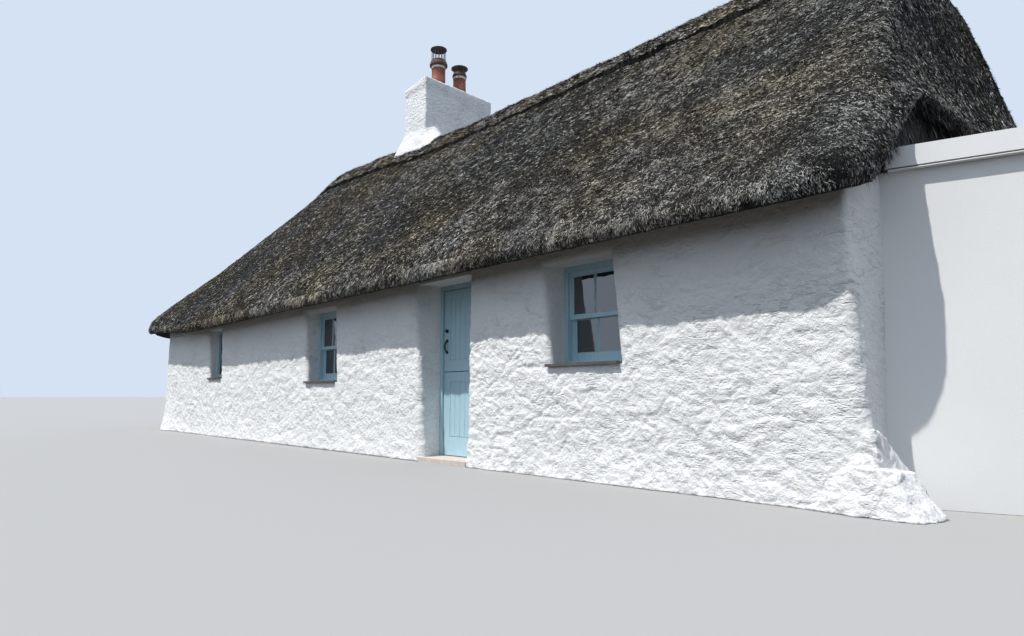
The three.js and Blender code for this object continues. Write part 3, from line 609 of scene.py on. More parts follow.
def roof_plan(x, y, margin=0.0):
    """A point of the rectangle of eaves lines, grown by a margin, moved so that the rectangle's corners are
    round: in a corner's square the square is mapped to a quarter disc."""
    nearer_left = x < 0
    radius = np.where(nearer_left, LEFT_CORNER_RADIUS, RIGHT_CORNER_RADIUS) + margin
    edge_x = np.where(nearer_left, EAVES_LEFT - margin, EAVES_RIGHT + margin)
    edge_y = np.where(y < 0, -1, 1) * (EAVES_BACK + margin)
    s = 1 - np.abs(x - edge_x) / radius
    t = 1 - np.abs(y - edge_y) / radius
    inside = (s > 0) & (t > 0)
    p = np.where(inside, radius * (1 - s * np.sqrt(1 - np.clip(t, 0, 1) ** 2 / 2)), np.abs(x - edge_x))
    q = np.where(inside, radius * (1 - t * np.sqrt(1 - np.clip(s, 0, 1) ** 2 / 2)), np.abs(y - edge_y))
    return edge_x + np.where(nearer_left, p, -p), edge_y + np.where(y < 0, q, -q)


FRONT_WEAR = 0.16
RIGHT_WEAR = 0.42
WEAR_DROP = 0.62


def swell(x, y):
    """Long swells of the thatch: a product of two waves that bend each other, and a broader slanting wave."""
    long = np.sin(x / 0.39 + 0.9 * np.sin(y / 0.52)) * np.cos(y / 0.33 + x / 1.5)
    return SWELL * (0.6 * long + 0.4 * np.sin(x / 0.91 - y / 0.6))


def worn_top(x, y):
    """The thatch's top with its long swells, and with its edges worn round: near an eaves line it falls as a
    quarter of an ellipse by a share of the thickness there."""
    top = thatch_top(x, y)
    along = np.clip(1 - (EAVES_BACK - np.abs(y)) / FRONT_WEAR, 0, 1)
    end = np.clip(1 - (EAVES_RIGHT - x) / RIGHT_WEAR, 0, 1)
    worn = np.clip(np.hypot(0.8 * along, end), 0, 1)
    fall = (1 - np.sqrt(1 - 0.9 * worn**2)) / (1 - math.sqrt(0.1))
    drop = WEAR_DROP * (top - thatch_underside(x, y)) * fall
    return top - drop + swell(x, y) * (1 - worn)


# Rubble walls

STONE_SIZE = np.array([0.19, 0.19, 0.105])
BOULDER_SIZE = np.array([0.42, 0.42, 0.24])
CRACK_SIZE = np.array([0.6, 0.6, 0.15])
LUMP_SIZE = np.array([0.15, 0.15, 0.08])
SILL_SLAB = 0.025
ARRIS = 0.045
ARC = np.linspace(0, math.pi / 2, 6)
ROW_LEVEL = 1.8
ROW_MARGIN = 0.005
HEAD_ROWS = 8
INTO_THATCH = 0.03
SIDES = {
    "front": (0.0, -Y_FRONT),
    "right": (math.pi / 2, X_RIGHT),
    "back": (math.pi, Y_BACK),
    "left": (-math.pi / 2, -X_LEFT),
}


def rubble(points):
    """How far the face stands out from its plane: flat-topped stones and boulders of random height between
    narrow sunk joints, low lumps, sharp cracks where one noise crosses zero, grit, long bulges, and a foot
    that spreads, most at the left end. Just under the eaves it is smoother."""
    bend = stacked(*(noise(points, 0.16, seed) for seed in (1, 2, 3)))

    def blocks(warp, size, joint, seed):
        """Cells with even tops of random height, which fall to a joint where two cells are equally near."""
        first, second, own = cells(points + warp * bend, size, seed)
        return ease(second - first, 0.0, joint) * (0.2 + 0.8 * own)

    stone = blocks(0.06, STONE_SIZE, 0.15, 11)
    boulder = blocks(0.1, BOULDER_SIZE, 0.12, 17)
    crack = np.clip(1 - 11 * np.abs(fractal(points + 0.03 * bend, CRACK_SIZE, 3, 41)), 0, 1)
    crack = crack * ease(noise(points, 0.4, 47), 0.0, 0.5)
    grit = fractal(points, 0.06, 2, 21)
    rough = 0.0075 * stone + 0.009 * boulder - 0.008 - 0.010 * crack + 0.0045 * grit
    rough = rough + 0.004 * fractal(points, LUMP_SIZE, 2, 51)
    z = points[..., 2]
    foot = 0.03 * np.clip(1 - z / 0.4, 0, 1) ** 2
    spread = 0.09 * ease(-points[..., 0], 6.4, -X_LEFT) * np.clip(1 - z / 0.9, 0, 1) ** 1.5
    return rough * (1 - 0.6 * ease(z, 1.45, 1.95)) + 0.012 * fractal(points, 1.2, 2, 31) + foot + spread


def placed(side, u, v, z):
    """Points of a wall in the part's frame: u runs along its face, seen from outside, and v into it."""
    angle, distance = SIDES[side]
    return turned(angle, u, v - distance, z)


def end_weight(kind, depth):
    """Share of the relief on an end face: all of it at an outer corner, less behind the wing, fading to the
    frame at a doorway, and none where walls meet."""
    return {
        "corner": np.ones_like(depth),
        "return": 1 - 0.6 * ease(depth, 0.05, 0.2),
        "jamb": 1 - ease(depth, 0.0, 0.25),
        "joint": 0 * depth,
    }[kind]


END_RADIUS = {"corner": 0.13, "return": 0.09, "jamb": 0.05, "joint": 0.0}
RETURN_LEAN = 0.075
RETURN_SKEW = 0.09
ARRIS_REACH = 0.16
LEFT_EDGE_LEAN = (0.055, -0.05)
RIGHT_EDGE_LEAN = (0.045, -0.06)
DOORWAY_LEAN = (DOOR_LEFT, 0.27, (0.2, 2.0), (0.065, -0.085))


def return_inset(v, z):
    """How far the near corner stands back from its end plane: more towards the top and towards the back."""
    back = ease(v, 0.05, 0.5)
    lean = ease(z, 0.25, 1.95)
    return (1 - back) * RETURN_LEAN * lean + back * (RETURN_SKEW - 0.04 * lean)


def edge_shift(leans, u, v, z):
    """Sideways shift of the edges of openings: each leans evenly from its foot's shift to its head's, and the
    shift dies out along the face as a bell curve and into the wall as a smooth step."""
    total = 0 * (u + v + z)
    for edge, depth, (foot, head), (low, high) in leans:
        share = np.clip((z - foot) / (head - foot), 0, 1)
        along = np.exp(-(((u - edge) / ARRIS_REACH) ** 2)) * (1 - ease(v, 0.03, depth))
        total = total + (low + (high - low) * share) * along
    return total


def wall_plan(u0, u1, face, inner, step, left, right):
    """Columns round a wall's plan, anticlockwise from the left of its face: u, v, normal, share of relief."""

    def turn(end, outward, radius, arc):
        """A quarter round from the face to an end, or nothing where the radius is 0."""
        if not radius:
            return []
        sine, cosine = np.sin(arc), np.cos(arc)
        u = end - outward * radius * (1 - sine)
        return [stacked(u, radius * (1 - cosine), outward * sine, -cosine, 1.0)]

    radius = END_RADIUS[left]
    right_depth = ticks([END_RADIUS[right], WALL], step if right != "joint" else WALL)[1:]
    left_depth = ticks([radius, WALL], step if left != "joint" else WALL)[-2::-1]
    left_depth = left_depth if radius else left_depth[:-1]
    return np.concatenate([
        stacked(face, 0.0, 0.0, -1.0, 1.0),
        *turn(u1, 1, END_RADIUS[right], ARC[1:]),
        stacked(u1, right_depth, 1.0, 0.0, end_weight(right, right_depth)),
        stacked(np.array([*inner[::-1], u0]), WALL, 0.0, 1.0, 0.0),
        stacked(u0, left_depth, -1.0, 0.0, end_weight(left, left_depth)),
        *turn(u0, -1, radius, ARC[-2:0:-1]),
    ])


def ring_of(numbers, r0, r1, c0, c1):
    """The numbers round a block of a grid, anticlockwise from its lower left."""
    return np.concatenate([
        numbers[r0, c0:c1 + 1], numbers[r0 + 1:r1 + 1, c1], numbers[r1, c1 - 1:c0 - 1 if c0 else None:-1],
        numbers[r1 - 1:r0:-1, c0],
    ])


def tunnel(surface, side, hole, grid, block, inner_columns, relief_step, leans):
    """The four sides of a window's hole: a quarter round at the face, a reveal with its right side splayed,
    then straight sides to the inner face. Its rings start from the face's own points."""
    r0, r1, c0, c1 = block
    numbers, u, z = grid
    half, reveal = hole["width"] / 2, hole["reveal"]
    outer_left, outer_right = hole["u"] - half - ARRIS, hole["u"] + half + hole["splay"] + ARRIS
    bottom, top = hole["sill"] - SILL_SLAB, hole["sill"] + hole["height"]
    across = (ring_of(np.broadcast_to(u, numbers.shape), *block) - outer_left) / (outer_right - outer_left)
    up = (ring_of(np.broadcast_to(z[:, None], numbers.shape), *block) - bottom) / (top + ARRIS - bottom)
    depth = np.concatenate([ARRIS * (1 - np.cos(ARC)), ticks([ARRIS, reveal], relief_step)[1:], [WALL]])
    out = np.concatenate([ARRIS * (1 - np.sin(ARC)), np.zeros(len(depth) - len(ARC))])
    lean = np.concatenate([ARC, np.full(len(depth) - len(ARC), math.pi / 2)])
    weight = np.where(depth < reveal, 1 - 0.45 * np.sin(lean), 0)
    weight = weight * (1 - ease(depth, 0.3 * reveal, 0.95 * reveal))
    splay = hole["splay"] * np.clip(1 - depth / reveal, 0, 1)
    low_u, high_u = hole["u"] - half - out, hole["u"] + half + splay + out
    point_u = low_u[:, None] + across * (high_u - low_u)[:, None]
    point_z = bottom + up * (top + out - bottom)[:, None]
    point_u = point_u + edge_shift(leans, point_u, depth[:, None], point_z)
    inward_u = np.where(across < TOLERANCE, 1.0, np.where(across > 1 - TOLERANCE, -1.0, 0.0))
    inward_z = np.where(up > 1 - TOLERANCE, -1.0, 0.0)
    flat = placed(side, point_u, depth[:, None], point_z)
    lean = lean[:, None]
    normal = turned(SIDES[side][0], inward_u * np.sin(lean), -np.cos(lean), inward_z * np.sin(lean))
    share = weight[:, None] * np.where(up < TOLERANCE, 0.0, 1.0)
    relief = rubble(flat)[..., None] * share[..., None]
    rings = surface.add_points((flat + normal * relief)[1:-1])
    last = ring_of(numbers, *block).copy()
    right_column, left_column = inner_columns
    wide, tall = c1 - c0, r1 - r0
    last[wide:wide + tall + 1] = numbers[r0:r1 + 1, right_column]
    last[0] = numbers[r0, left_column]
    last[2 * wide + tall:] = numbers[r1:r0:-1, left_column]
    for start, stop in ((1, wide), (wide + tall + 1, 2 * wide + tall)):
        last[start:stop] = surface.add_points(flat[-1, start:stop])
    surface.join(np.concatenate([ring_of(numbers, *block)[None], rings, last[None]]), around=True)
    surface.cap([*numbers[r0 - 1, [right_column, left_column]], *last[:wide + 1]])
    surface.cap([*last[wide + tall:2 * wide + tall + 1], *numbers[r1 + 1, [left_column, right_column]]])


def wall(name, side, ends, kinds, holes, step, finish=LIMEWASH, leans=()):
    """One wall: columns round its plan by rows up to the thatch, moved out by the rubble, and its windows."""
    u0, u1 = ends
    edges = [(h["u"] - h["width"] / 2, h["u"] + h["width"] / 2) for h in holes]
    outer = [(a - ARRIS, b + h["splay"] + ARRIS) for h, (a, b) in zip(holes, edges)]
    levels = [(h["sill"] - SILL_SLAB, h["sill"] + h["height"] + ARRIS) for h in holes]
    radii = [END_RADIUS[kind] for kind in kinds]
    face = ticks(sorted([u0 + radii[0], u1 - radii[1], *sum(outer, ())]), step)
    inner = np.array(sorted(sum(edges, ())))
    u, v, normal_u, normal_v, weight = wall_plan(u0, u1, face, inner, step, *kinds).T
    last_level = max([ROW_LEVEL, *(high + ROW_MARGIN for _, high in levels)])
    z = ticks(sorted([0.0, last_level, *sum(levels, ())]), step)
    top = thatch_underside(*placed(side, u, v, 0.0).T[:2]) + INTO_THATCH
    rise = np.linspace(0, 1, HEAD_ROWS + 1)[1:, None]
    height = np.concatenate([np.broadcast_to(z[:, None], (len(z), len(u))), z[-1] + rise * (top - z[-1])])
    inner_at = {}
    for hole, (a, b), (low, high) in zip(holes, edges, levels):
        for edge in (a, b):
            column = np.flatnonzero((v == WALL) & (np.abs(u - edge) < TOLERANCE))[0]
            inner_at[edge] = column
            height[:len(z), column] = np.interp(z, [0, low, high, z[-1]], [0, low, high - ARRIS, z[-1]])
    flat = placed(side, u + edge_shift(leans, u, v, height), v, height)
    normal = turned(SIDES[side][0], normal_u, normal_v, 0.0)
    relief = rubble(flat) * weight
    if kinds[1] == "return":
        relief -= return_inset(v, height) * np.clip(normal_u, 0, 1) * (v < WALL - TOLERANCE)
    surface = Surface()
    numbers = surface.add_points(flat + normal * relief[..., None])
    keep = np.ones((len(height) - 1, len(u)), bool)
    for hole, (a, b), (oa, ob), (low, high) in zip(holes, edges, outer, levels):
        c0, c1 = (int(np.argmin(np.abs(face - edge))) for edge in (oa, ob))
        r0, r1 = (int(np.argmin(np.abs(z - level))) for level in (low, high))
        keep[r0:r1, c0:c1] = False
        keep[r0 - 1:r1 + 1, inner_at[b]] = False
        tunnel(surface, side, hole, (numbers, u, np.append(z, height[len(z):, 0])), (r0, r1, c0, c1),
               (inner_at[b], inner_at[a]), step, leans)
    surface.join(numbers, around=True, keep=keep)
    surface.cap(numbers[0], flip=True)
    surface.cap(numbers[-1])
    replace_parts(surface.build(f"{name}_rubble", HOUSE, [finish]), name)


def window_hole(name, reveal, splay, backwards=False):
    """A window's hole from its frame's box: the frame fills its width and height at the reveal's depth."""
    low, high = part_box(f"{name}_frame")
    middle = (low.x + high.x) / 2
    return {
        "u": -middle if backwards else middle,
        "sill": low.z,
        "width": high.x - low.x,
        "height": high.z - low.z,
        "reveal": reveal,
        "splay": splay,
    }


def hole_leans(hole):
    """The two upright edges of a window's hole: both lean right towards the sill."""
    half, levels = hole["width"] / 2, (hole["sill"], hole["sill"] + hole["height"])
    left, right = hole["u"] - half - ARRIS, hole["u"] + half + hole["splay"] + ARRIS
    return [
        (left, hole["reveal"], levels, LEFT_EDGE_LEAN),
        (right, hole["reveal"], levels, RIGHT_EDGE_LEAN),
    ]


def add_walls():
    """Every rubble wall, with its windows and with the doorway's left edge leaning."""
    window_1 = window_hole("window_1", 0.16, 0.11)
    window_2 = window_hole("window_2", 0.2, 0.2)
    window_3 = window_hole("window_3", 0.24, 0.12)
    back = [window_hole(f"back_window_{k}", 0.24, 0.12, backwards=True) for k in (1, 2)]
    ends = (WALL - Y_BACK, Y_BACK - WALL)
    left_leans = [*hole_leans(window_1), *hole_leans(window_2), DOORWAY_LEAN]
    wall("front_wall_left", "front", (X_LEFT, DOOR_LEFT), ("corner", "jamb"), [window_1, window_2], step=0.024,
         leans=left_leans)
    wall("front_wall_right", "front", (DOOR_RIGHT, X_RIGHT), ("jamb", "return"), [window_3], step=0.0135,
         leans=hole_leans(window_3))
    wall("back_wall", "back", (-X_RIGHT, -X_LEFT), ("corner", "corner"), back, step=0.05)
    wall("left_end_wall", "left", ends, ("joint", "joint"), (), step=0.035)
    # The gable wall is bare stone, also darkened as painted shade of the recess over the wing.
    wall("right_gable_wall", "right", ends, ("joint", "joint"), (), step=0.05, finish=BARE_STONE_IN_RECESS_SHADE)


add_walls()

# Footing, chimney and wing

CORNER_STEPS = 5


def rounded_box(x0, x1, y0, y1, radius, across, along):
    """Anticlockwise points round a rectangle with quarter-round corners, from its front right corner, and
    their outward normals. Each side of the rectangle is a column of numbers, one for each row."""
    corners = []
    for corner in range(4):
        angle = np.linspace(-math.pi / 2, 0, CORNER_STEPS) + corner * math.pi / 2
        cosine, sine = np.cos(angle), np.sin(angle)
        centre_x = x1 - radius if corner in (0, 1) else x0 + radius
        centre_y = y0 + radius if corner in (0, 3) else y1 - radius
        corners.append((centre_x + radius * cosine, centre_y + radius * sine, cosine, sine))
    loops = [[], [], [], []]
    for corner, (here, after) in enumerate(zip(corners, [*corners[1:], corners[0]])):
        count = across if corner % 2 else along
        share = np.linspace(0, 1, count + 2)[1:-1]
        places = [
            turn[..., -1:] * (1 - share) + next_turn[..., :1] * share
            for turn, next_turn in zip(here[:2], after)
        ]
        normals = [np.full(count, turn[-1]) for turn in here[2:]]
        for loop, *parts in zip(loops, here, places + normals):
            loop += parts
    return [np.concatenate(loop, axis=-1) for loop in loops]


def closed_curve(knots, count):
    """Evenly numbered points of a smooth closed curve through the knots."""
    knots = np.array([*knots, knots[0]], float)
    ring = spline(np.concatenate([knots[-2:-1], knots, knots[1:2]]), 12 * (len(knots) + 1) + 1)[12:-12]
    spots = np.linspace(0, len(ring) - 1, count, endpoint=False)
    return stacked(*(np.interp(spots, np.arange(len(ring)), values) for values in ring.T))


def heap(surface, foot, crown):
    """A heap of rubble against the near corner: loops that go evenly from its foot's curve to its crown's,
    then draw in over a rounded top. Both curves are measured from the corner."""
    foot, crown = (closed_curve(knots, 200) + (X_RIGHT, Y_FRONT, 0) for knots in (foot, crown))
    middle = crown.mean(axis=0)
    rise = np.linspace(0, 1, 21)[:, None, None]
    turn = np.linspace(0, math.pi / 2, 12)[1:, None, None]
    shrink = 0.02 + 0.98 * np.cos(turn)
    over = middle + (crown - middle) * (1 - 0.9 * (1 - shrink)) + (0, 0, 0.03) * np.sin(turn)
    flat = np.concatenate([foot + (crown - foot) * rise, over])
    outward = unit((crown - middle) * (1, 1, 0))
    tilt = np.concatenate([0 * rise, np.sin(turn)])
    normal = unit(outward * (1 - 0.85 * tilt) + (0, 0, 1) * tilt)
    relief = 1.3 * rubble(flat) + 0.010 * fractal(flat, 0.09, 3, 55) - 0.006
    surface.shell(flat + normal * relief[..., None])


LOWER_FOOT = [
    (-0.5, 0.12, 0), (-0.4, 0.0, 0), (-0.05, -0.06, 0), (0.2, -0.07, 0), (0.29, -0.01, 0), (0.31, 0.2, 0),
    (0.0, 0.5, 0),
]
LOWER_CROWN = [
    (-0.45, 0.14, 0.25), (-0.3, 0.03, 0.26), (-0.1, -0.025, 0.27), (0.08, -0.04, 0.28), (0.15, -0.02, 0.27),
    (0.165, 0.06, 0.26), (0.14, 0.3, 0.24), (-0.1, 0.45, 0.22),
]
UPPER_FOOT = [
    (-0.3, 0.12, 0.2), (-0.2, 0.03, 0.2), (0.0, -0.025, 0.2), (0.065, -0.035, 0.2), (0.085, -0.01, 0.2),
    (0.11, 0.2, 0.2), (0.09, 0.42, 0.2), (-0.1, 0.45, 0.2),
]
UPPER_CROWN = [
    (-0.29, 0.14, 0.45), (-0.2, 0.05, 0.48), (0.0, -0.015, 0.51), (0.04, -0.025, 0.515), (0.05, 0.0, 0.51),
    (0.045, 0.12, 0.47), (0.02, 0.3, 0.36), (-0.1, 0.36, 0.3),
]


def add_footing():
    """The spread rubble foot of the near corner: a broad heap, and on it one that falls away to the wing."""
    surface = Surface()
    heap(surface, LOWER_FOOT, LOWER_CROWN)
    heap(surface, UPPER_FOOT, UPPER_CROWN)
    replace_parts(surface.build("footing", HOUSE, [LIMEWASH]), "corner_plinth")


POT_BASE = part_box("front_pot")[0].z
SKIRT_SPREAD = 0.3
SKIRT_FRONT_SPREAD = 0.12
STACK_SIDES = (-1.89, -1.16)
STACK_ENDS = (-0.2, 1.36)
STACK_TOPS = ((6.565, 6.64), (6.53, 6.54))
STACK_CORNER = 0.045
STACK_POINTS = (14, 30)
STACK_ROWS = 25
ATTIC_LEVEL = 4.45
SKIRT_LEVELS = [0, 0, -0.12, 0.04, 0.12, 0.20, 0.29, 0.36, 0.42]
SKIRT_SHARES = [0, 0, 1, 0.93, 0.72, 0.48, 0.24, 0.08, 0]
RIM_INSETS = [-0.014, 0.0, 0.02, 0.04, 0.07, 0.1]
RIM_LEVELS = [-0.012, 0.0, 0.006, 0.022, 0.034, 0.046]


def stack_top(x, y):
    """Height of the stack's top: an even blend of the heights of its four corners."""
    across = np.clip((x - STACK_SIDES[0]) / (STACK_SIDES[1] - STACK_SIDES[0]), 0, 1)
    back = np.clip((y - STACK_ENDS[0]) / (STACK_ENDS[1] - STACK_ENDS[0]), 0, 1)
    front_edge, back_edge = (low + (high - low) * across for low, high in STACK_TOPS)
    return front_edge + (back_edge - front_edge) * back


def add_chimney():
    """The stack: loops up its height. The lowest stand on the floor, the next spread into mortar that follows
    the thatch, and the last draw in over a rounded rim to the mortar cap under the pots."""
    spread, offset, inset, rim = (
        np.array(column)[:, None] for column in (SKIRT_SHARES, SKIRT_LEVELS, RIM_INSETS, RIM_LEVELS)
    )
    shaft = np.linspace(0.0, 1.0, STACK_ROWS + 1)[1:, None]
    (left, right), (front, back) = STACK_SIDES, STACK_ENDS
    x, y, nx, ny = rounded_box(
        left - SKIRT_SPREAD * spread, right + SKIRT_SPREAD * spread, front - SKIRT_FRONT_SPREAD * spread,
        back + SKIRT_SPREAD * spread, STACK_CORNER, *STACK_POINTS,
    )
    z = thatch_top(x, y) + offset * (1 - 0.1 * np.clip(nx, 0, 1))
    z[0], z[1] = FLOOR_TOP, ATTIC_LEVEL
    lip = 0.018 * ease(shaft, 0.84, 0.92)
    shaft_z = z[-1] + (stack_top(x[-1], y[-1]) - 0.03 - z[-1]) * shaft
    cap_x, cap_y, *_ = rounded_box(
        left + inset, right - inset, front + inset, back - inset, STACK_CORNER, *STACK_POINTS
    )
    flat = np.concatenate([
        stacked(x, y, z),
        stacked(x[-1] + nx * lip, y[-1] + ny * lip, shaft_z),
        stacked(cap_x, cap_y, stack_top(cap_x, cap_y) + rim),
    ])
    normal = stacked(nx, ny, 0.0)
    shift = np.array([3.1, 7.7, 0.0])
    above = flat[..., 2] > ATTIC_LEVEL + 0.1
    amount = 1.4 * (rubble(flat + shift + (0, 0, -4.0)) - 0.006) * above
    surface = Surface()
    numbers = surface.grid(flat + normal * amount[..., None], around=True)
    surface.cap(numbers[0], flip=True)
    peak = surface.add_points([[sum(STACK_SIDES) / 2, sum(STACK_ENDS) / 2, POT_BASE + 0.004]])
    last = numbers[-1]
    surface.face_rows(stacked(last, np.roll(last, -1), peak[0]))
    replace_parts(surface.build("chimney", HOUSE, [CHIMNEY_WASH]), "chimney_stack")


def lathe(surface, profile, centre, steps=40, slots=None):
    """A profile of (radius, height) turned about an upright axis, given from its outside foot upwards and
    round to its inside foot, and closed on itself. The slots give each of its bands a material."""
    angle = np.linspace(0, 2 * math.pi, steps, endpoint=False)
    radius, height = np.array(profile, float).T[:, :, None]
    x, y, z = centre
    numbers = surface.add_points(stacked(x + radius * np.cos(angle), y + radius * np.sin(angle), z + height))
    numbers = np.concatenate([numbers, numbers[:1]])
    slots = np.array(slots or [0] * len(profile))
    for slot in np.unique(slots):
        keep = np.repeat((slots == slot)[:, None], steps, axis=1)
        surface.join(numbers, around=True, slot=int(slot), keep=keep)


def add_pots():
    """Each pot: a clay barrel, a pale mortar band under its dark two-tier rim, and a bore. The bedding at its
    foot is a piece of its own."""
    for side, rim, inset in (("front", 0.1, 0.038), ("back", 0.08, 0.015)):
        low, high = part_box(f"{side}_pot")
        radius = (high.x - low.x) / 2
        x, y, tall = (low.x + high.x) / 2, (low.y + high.y) / 2, high.z - low.z
        body = radius - inset
        bore = body - 0.028
        ledge, tier = tall - rim, tall - rim / 2
        pot = Surface()
        outside = [
            (body + 0.012, 0), (body + 0.012, 0.04), (body + 0.002, 0.065), (body - 0.003, tall * 0.5),
            (body - 0.004, ledge - 0.05), (body + 0.003, ledge - 0.048), (body + 0.003, ledge - 0.012),
            (body + 0.012, ledge - 0.006), (radius - 0.003, ledge), (radius, ledge + 0.008),
            (radius, tier - 0.006), (radius - 0.004, tier), (radius - 0.016, tier + 0.003),
            (radius - 0.014, tall - 0.008), (radius - 0.02, tall),
            (bore + 0.006, tall), (bore, tall - 0.006), (bore, 0),
        ]
        lathe(pot, outside, (x, y, low.z), slots=[0] * 4 + [1] * 2 + [2] * 11 + [0])
        piece = pot.build(f"{side}_clay_pot", HOUSE, [CLAY, CHIMNEY_WASH, SOOTY_CLAY])
        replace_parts(piece, f"{side}_pot")
        collar = Surface()
        reach, close = body + 0.035, body + 0.013
        bedding = [(reach, 0.0), (reach - 0.006, 0.018), (body + 0.016, 0.03), (close, 0.03), (close, 0.0)]
        lathe(collar, bedding, (x, y, low.z - 0.004), 32)
        collar.build(f"{side}_pot_bedding", HOUSE, [CHIMNEY_WASH])


def add_cowls():
    """The metal cowls: upright straps in a ring between a band on the pot's rim and a domed cap."""
    sizes = (("front", 14, 0.006, 0.232, 0.022), ("back", 4, 0.012, 0.085, 0.05))
    for side, count, strap, tall, inset in sizes:
        low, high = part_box(f"{side}_cowl")
        x, y, cap = (low.x + high.x) / 2, (low.y + high.y) / 2, (high.x - low.x) / 2
        ring = cap - inset
        outside, inside = ring + 0.003, ring - 0.004
        cowl = Surface()
        lathe(cowl, [(outside, 0.0), (outside, 0.022), (inside, 0.022), (inside, 0.0)], (x, y, low.z + 0.001))
        top = high.z - low.z - tall
        edge = 0.35 * top
        dome = [
            (cap - 0.004, tall), (cap, tall + 0.004), (cap, tall + edge), (cap - 0.008, tall + edge + 0.006),
            (0.72 * cap, tall + 0.7 * top), (0.4 * cap, tall + 0.9 * top), (0.004, tall + top - 0.001),
            (0.004, tall + edge), (0.7 * cap, tall + 0.5 * edge), (cap - 0.012, tall + 0.002),
        ]
        lathe(cowl, dome, (x, y, low.z))
        across = np.array([-strap, strap, strap, -strap])
        away = ring - 0.0005 + np.array([0.002, 0.002, -0.002, -0.002])
        for turn in (np.arange(count) + 0.5) * 2 * math.pi / count:
            foot_x = x + away * math.cos(turn) - across * math.sin(turn)
            foot_y = y + away * math.sin(turn) + across * math.cos(turn)
            foot = stacked(foot_x, foot_y, low.z + 0.02)
            cowl.shell(np.stack([foot, foot + (0, 0, tall - 0.012)]), flip=True)
        piece = cowl.build(f"{side}_wire_cowl", HOUSE, [COWL_METAL], smooth=False)
        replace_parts(piece, f"{side}_cowl")


# Joinery

SASH_FACE = 0.04
SASH_FEET = {"upper": SASH_FACE, "lower": 0.075}
FRAME_FACE = 0.05
FRAME_FOOT = 0.07
FRAME_RECESS = 0.004
GLAZING_BAR = 0.015
BAR_RECESS = 0.003
GLASS_GAP = 0.0005
BOARDS = 6
PANEL_RECESS = 0.008
STILE = 0.12
LEAF_RAILS = {"upper": (0.13, 0.1), "lower": (0.21, 0.11)}
GROOVE = 0.006
LEAF_WIDTH = 0.8064


def moulding(surface, x, z, section):
    """A closed section of (inset, depth) points carried round a rectangle with mitred corners."""
    inset, depth = np.array(section, float).T
    corners = ((x[0], 1, z[0], 1), (x[1], -1, z[0], 1), (x[1], -1, z[1], -1), (x[0], 1, z[1], -1))
    rows = [stacked(side + right * inset, depth, level + up * inset) for side, right, level, up in corners]
    numbers = surface.add_points(np.stack(rows))
    surface.join(np.concatenate([numbers, numbers[:1]]), around=True, flip=True)


def bar(surface, x, z, near, far):
    """An upright glazing bar at the middle of a pair of x: a flat nose at the near depth, and two bevels that
    go back to the far one."""
    half, nose = GLAZING_BAR / 2, GLAZING_BAR / 5
    side = (x[0] + x[1]) / 2 + np.array([-half, -nose, nose, half])
    depth = np.array([far, near, near, far])
    numbers = surface.grid(stacked(side, depth, np.array(z)[:, None]), around=True, flip=True)
    surface.cap(numbers[0], flip=True)
    surface.cap(numbers[-1])


def add_sash_bars(name, part, foot):
    """An upright bar before and behind the glass of one sash, and a bevel of putty round each pane."""
    low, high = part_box(f"{name}_{part}_sash")
    glass_low, glass_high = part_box(f"{name}_{part}_glass")
    x, z = (low.x + SASH_FACE, high.x - SASH_FACE), (low.z + foot, high.z - SASH_FACE)
    face, before_glass = low.y + BAR_RECESS, glass_low.y - GLASS_GAP
    surface = Surface()
    bar(surface, x, z, face, before_glass)
    bar(surface, x, z, high.y - BAR_RECESS, glass_high.y + GLASS_GAP)
    middle = (x[0] + x[1]) / 2
    putty = [(0.0005, face + 0.003), (0.0085, before_glass), (0.0005, before_glass)]
    for pane in ((x[0], middle - GLAZING_BAR / 2), (middle + GLAZING_BAR / 2, x[1])):
        moulding(surface, pane, z, putty)
    surface.build(f"{name}_{part}_bars", HOUSE, [BLUE_PAINT], smooth=False)


def add_plain_bars(name, side):
    """An upright bar before and behind the glass of a small window, whose outside faces front or back."""
    low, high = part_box(f"{name}_frame")
    glass = [corner.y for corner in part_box(f"{name}_glass")][::side]
    near, far = (low.y, high.y)[::side]
    x, z = (low.x + FRAME_FACE, high.x - FRAME_FACE), (low.z + FRAME_FOOT, high.z - FRAME_FACE)
    surface = Surface()
    bar(surface, x, z, near + side * FRAME_RECESS, glass[0] - side * GLASS_GAP)
    bar(surface, x, z, far - side * FRAME_RECESS, glass[1] + side * GLASS_GAP)
    surface.build(f"{name}_bars", HOUSE, [BLUE_PAINT], smooth=False)


def add_glazing():
    """Glazing bars for every window, putty round the panes of the two sash windows, and the catch on the near
    window's meeting rail.
    """
    for name, (part, foot) in itertools.product(("window_2", "window_3"), SASH_FEET.items()):
        add_sash_bars(name, part, foot)
    for name, side in (("window_1", 1), ("back_window_1", -1), ("back_window_2", -1)):
        add_plain_bars(name, side)
    low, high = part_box("window_3_upper_sash")
    place = (low.x + high.x) / 2 + 0.06, (low.y + high.y) / 2 - 0.008, low.z + SASH_FACE + 0.0005
    surface = Surface()
    lathe(surface, [(0.016, 0.0), (0.017, 0.004), (0.014, 0.009), (0.006, 0.012), (0.0, 0.013)], place, 16)
    surface.build("window_3_catch", HOUSE, [WHITE_PAINT])


